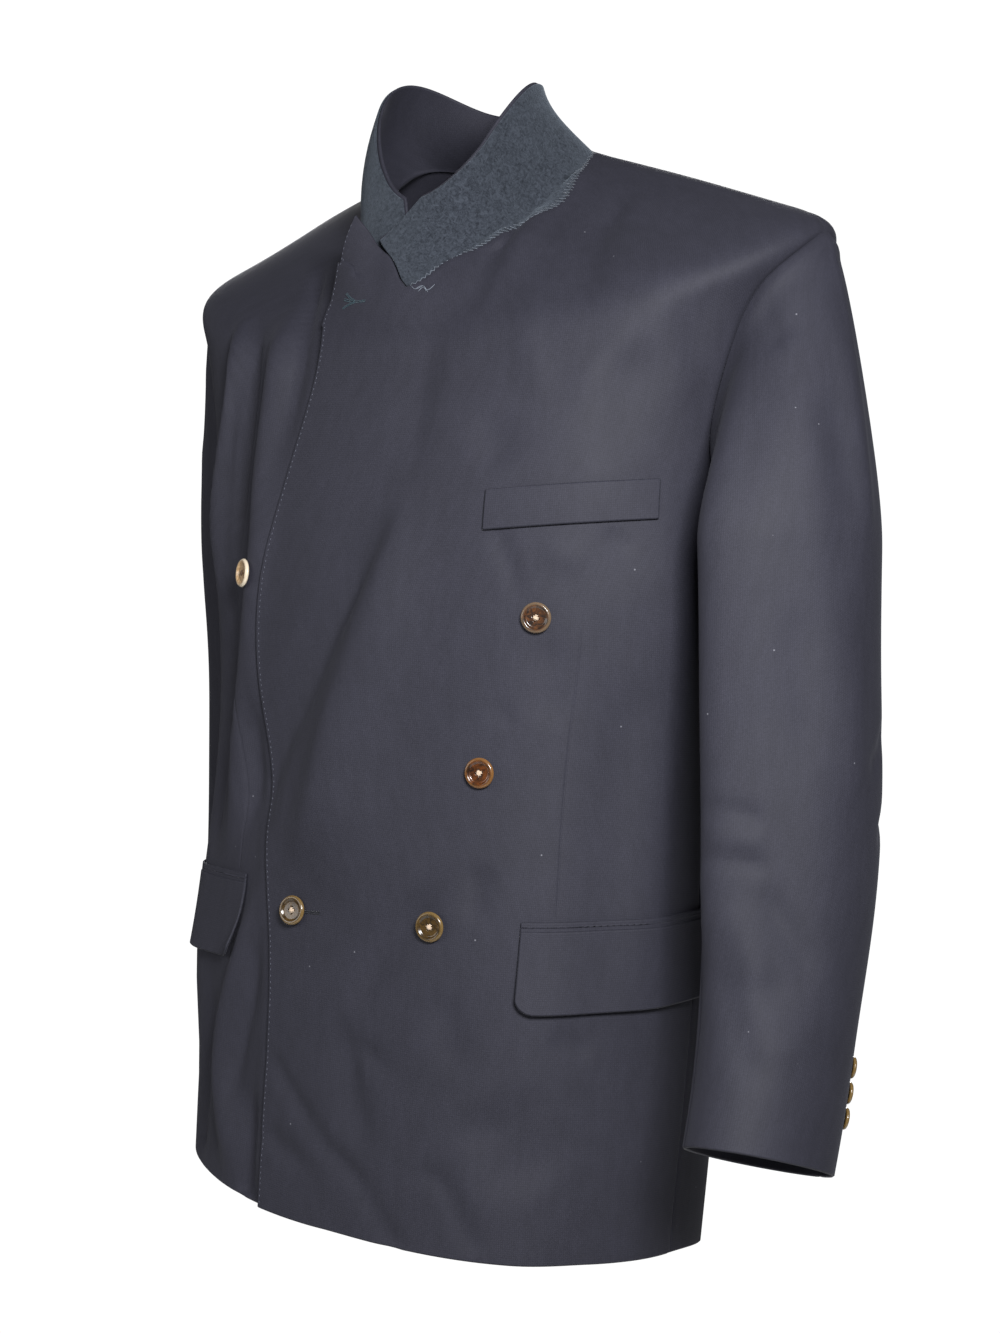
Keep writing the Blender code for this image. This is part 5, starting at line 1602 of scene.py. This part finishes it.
# %% Cuff buttons
CUFF_BUTTON = dict(radius=0.0075, thick=0.0026, shank=0.0010, wound=0.0011, yarn=0.00028)
CUFF_BUTTON_UP = (0.0400, 0.0575, 0.0750)       # from the hem
CUFF_BUTTON_IN = 0.0165                         # from the hind seam
for side, hand in HAND.items():
    grid, out, over = SLEEVES[side][1:]
    above_hem = distances(grid[::-1, over[-1]])
    for number, up in enumerate(CUFF_BUTTON_UP):
        index = len(grid) - 1 - np.interp(up, above_hem, np.arange(len(grid)))
        low, part = int(index), index - int(index)
        line = (grid + out * CLOTH)[low:low + 2, over[::-1]]
        line = line[0] * (1 - part) + line[1] * part
        inward = np.interp(CUFF_BUTTON_IN, distances(line), np.arange(len(over)))
        column = over[::-1][int(round(inward))]
        make_button(f"cuff_button_{hand}_{number + 1}", along(line, CUFF_BUTTON_IN), out[low, column],
                    **CUFF_BUTTON, horn=HORN_OLIVE, thread=THREAD_PALE, spin=0.5 * number)

# %% [markdown]
#
# Each wall of cloth was cut flat before it was sewn. The width and length of each cut were printed as its
# wall was built, and each piece keeps its area as cloth_area, so that anyone who uses the blazer knows what
# the cloth was.

# %% Ride, replace and declare
SHEETS = [("breast_welt", WELT, "front_left"), ("under_collar", UNDER_COLLAR, "front_left"),
          ("top_collar", TOP_COLLAR, "front_left")]
for side, hand in HAND.items():
    SHEETS += [
        (f"front_{hand}", FRONTS[side], f"back_{hand}"),
        (f"back_{hand}", BACKS[side], f"front_{hand}"),
        (f"sleeve_{hand}_top", SLEEVES[side][0]["top"], f"front_{hand}"),
        (f"sleeve_{hand}_under", SLEEVES[side][0]["under"], f"back_{hand}"),
        (f"jet_{hand}", JETS[side], f"front_{hand}"),
        (f"flap_{hand}", FLAPS[side], f"front_{hand}"),
    ]
for part, piece, rest in SHEETS:
    declare(piece, part)

# %% [markdown]
# ## Camera, floor and light
#
# The camera stands 1.7 m away, 34 degrees round to the wearer's left, a little above the middle. The
# floor is a pale disc well below the hem. The camera sees a white world, but the world gives the cloth
# little light, because light from everywhere would wash the folds out. The key light is small and stands
# a little further round than the camera, so each fold that turns away from it goes dark. Two weaker
# lights fill the other front, and one lights the back.

# %% Camera
CAMERA_ROUND, CAMERA_DOWN = 34.0, 1.62      # degrees that it stands round to the left, and looks down
camera = bpy.data.objects.new("camera", bpy.data.cameras.new("camera"))
camera.data.lens = 59.68
camera.data.sensor_width = 36.0
camera.location = (0.9506, -1.4094, -0.337)
camera.rotation_euler = (math.radians(90 - CAMERA_DOWN), 0.0, math.radians(CAMERA_ROUND))
bpy.context.scene.collection.objects.link(camera)
bpy.context.scene.camera = camera
print("camera", round(math.hypot(*camera.location[:2]), 2), "m from the middle of the neck")

# %% Floor
FLOOR_RADIUS, FLOOR_Z = 1.5, -1.45
pale, pale_tree, pale_shader = new_material("pale studio floor")
feed(pale_tree, pale_shader, {"Base Color": linear("#dededc"), "Roughness": 0.9})
around = np.linspace(0, 2 * math.pi, 129)[:-1]
disc = [(FLOOR_RADIUS * math.cos(a), FLOOR_RADIUS * math.sin(a), 0) for a in around]
floor = new_piece("floor", disc, [tuple(range(len(disc)))], pale)
floor.location = (0, 0, FLOOR_Z)
print("floor", FLOOR_RADIUS * 2, "m across, at", FLOOR_Z, "m")

# %% Light
LIGHT_AIM = Vector((0, 0, -0.4))     # the middle of the blazer
LIGHTS = {
    # place, size, power
    "key": ((0.97, -1.00, 0.08), 0.4, 30),
    "front": ((-0.90, -2.10, 0.10), 0.9, 8),
    "right": ((-1.75, -1.50, 0.10), 0.9, 6),
    "back": ((-1.8, 2.7, 0.6), 2.0, 140),
}
for name, (place_at, size, power) in LIGHTS.items():
    lamp = bpy.data.lights.new(name, "AREA")
    lamp.energy, lamp.size = power, size
    light = bpy.data.objects.new(name, lamp)
    light.location = place_at
    light.rotation_euler = (LIGHT_AIM - light.location).to_track_quat("-Z", "Y").to_euler()
    bpy.context.scene.collection.objects.link(light)

world = bpy.data.worlds.new("pale studio")
world.use_nodes = True
sky = world.node_tree
seen = add(sky, "LightPath").outputs["Is Camera Ray"]
strength = add(sky, "MapRange", {"Value": seen, "To Min": 0.08, "To Max": 1.05}).outputs[0]
feed(sky, sky.nodes["Background"], {"Color": linear("#ffffff"), "Strength": strength})
bpy.context.scene.world = world
bpy.context.scene.view_settings.view_transform = "Standard"
print(len(LIGHTS), "soft lights")
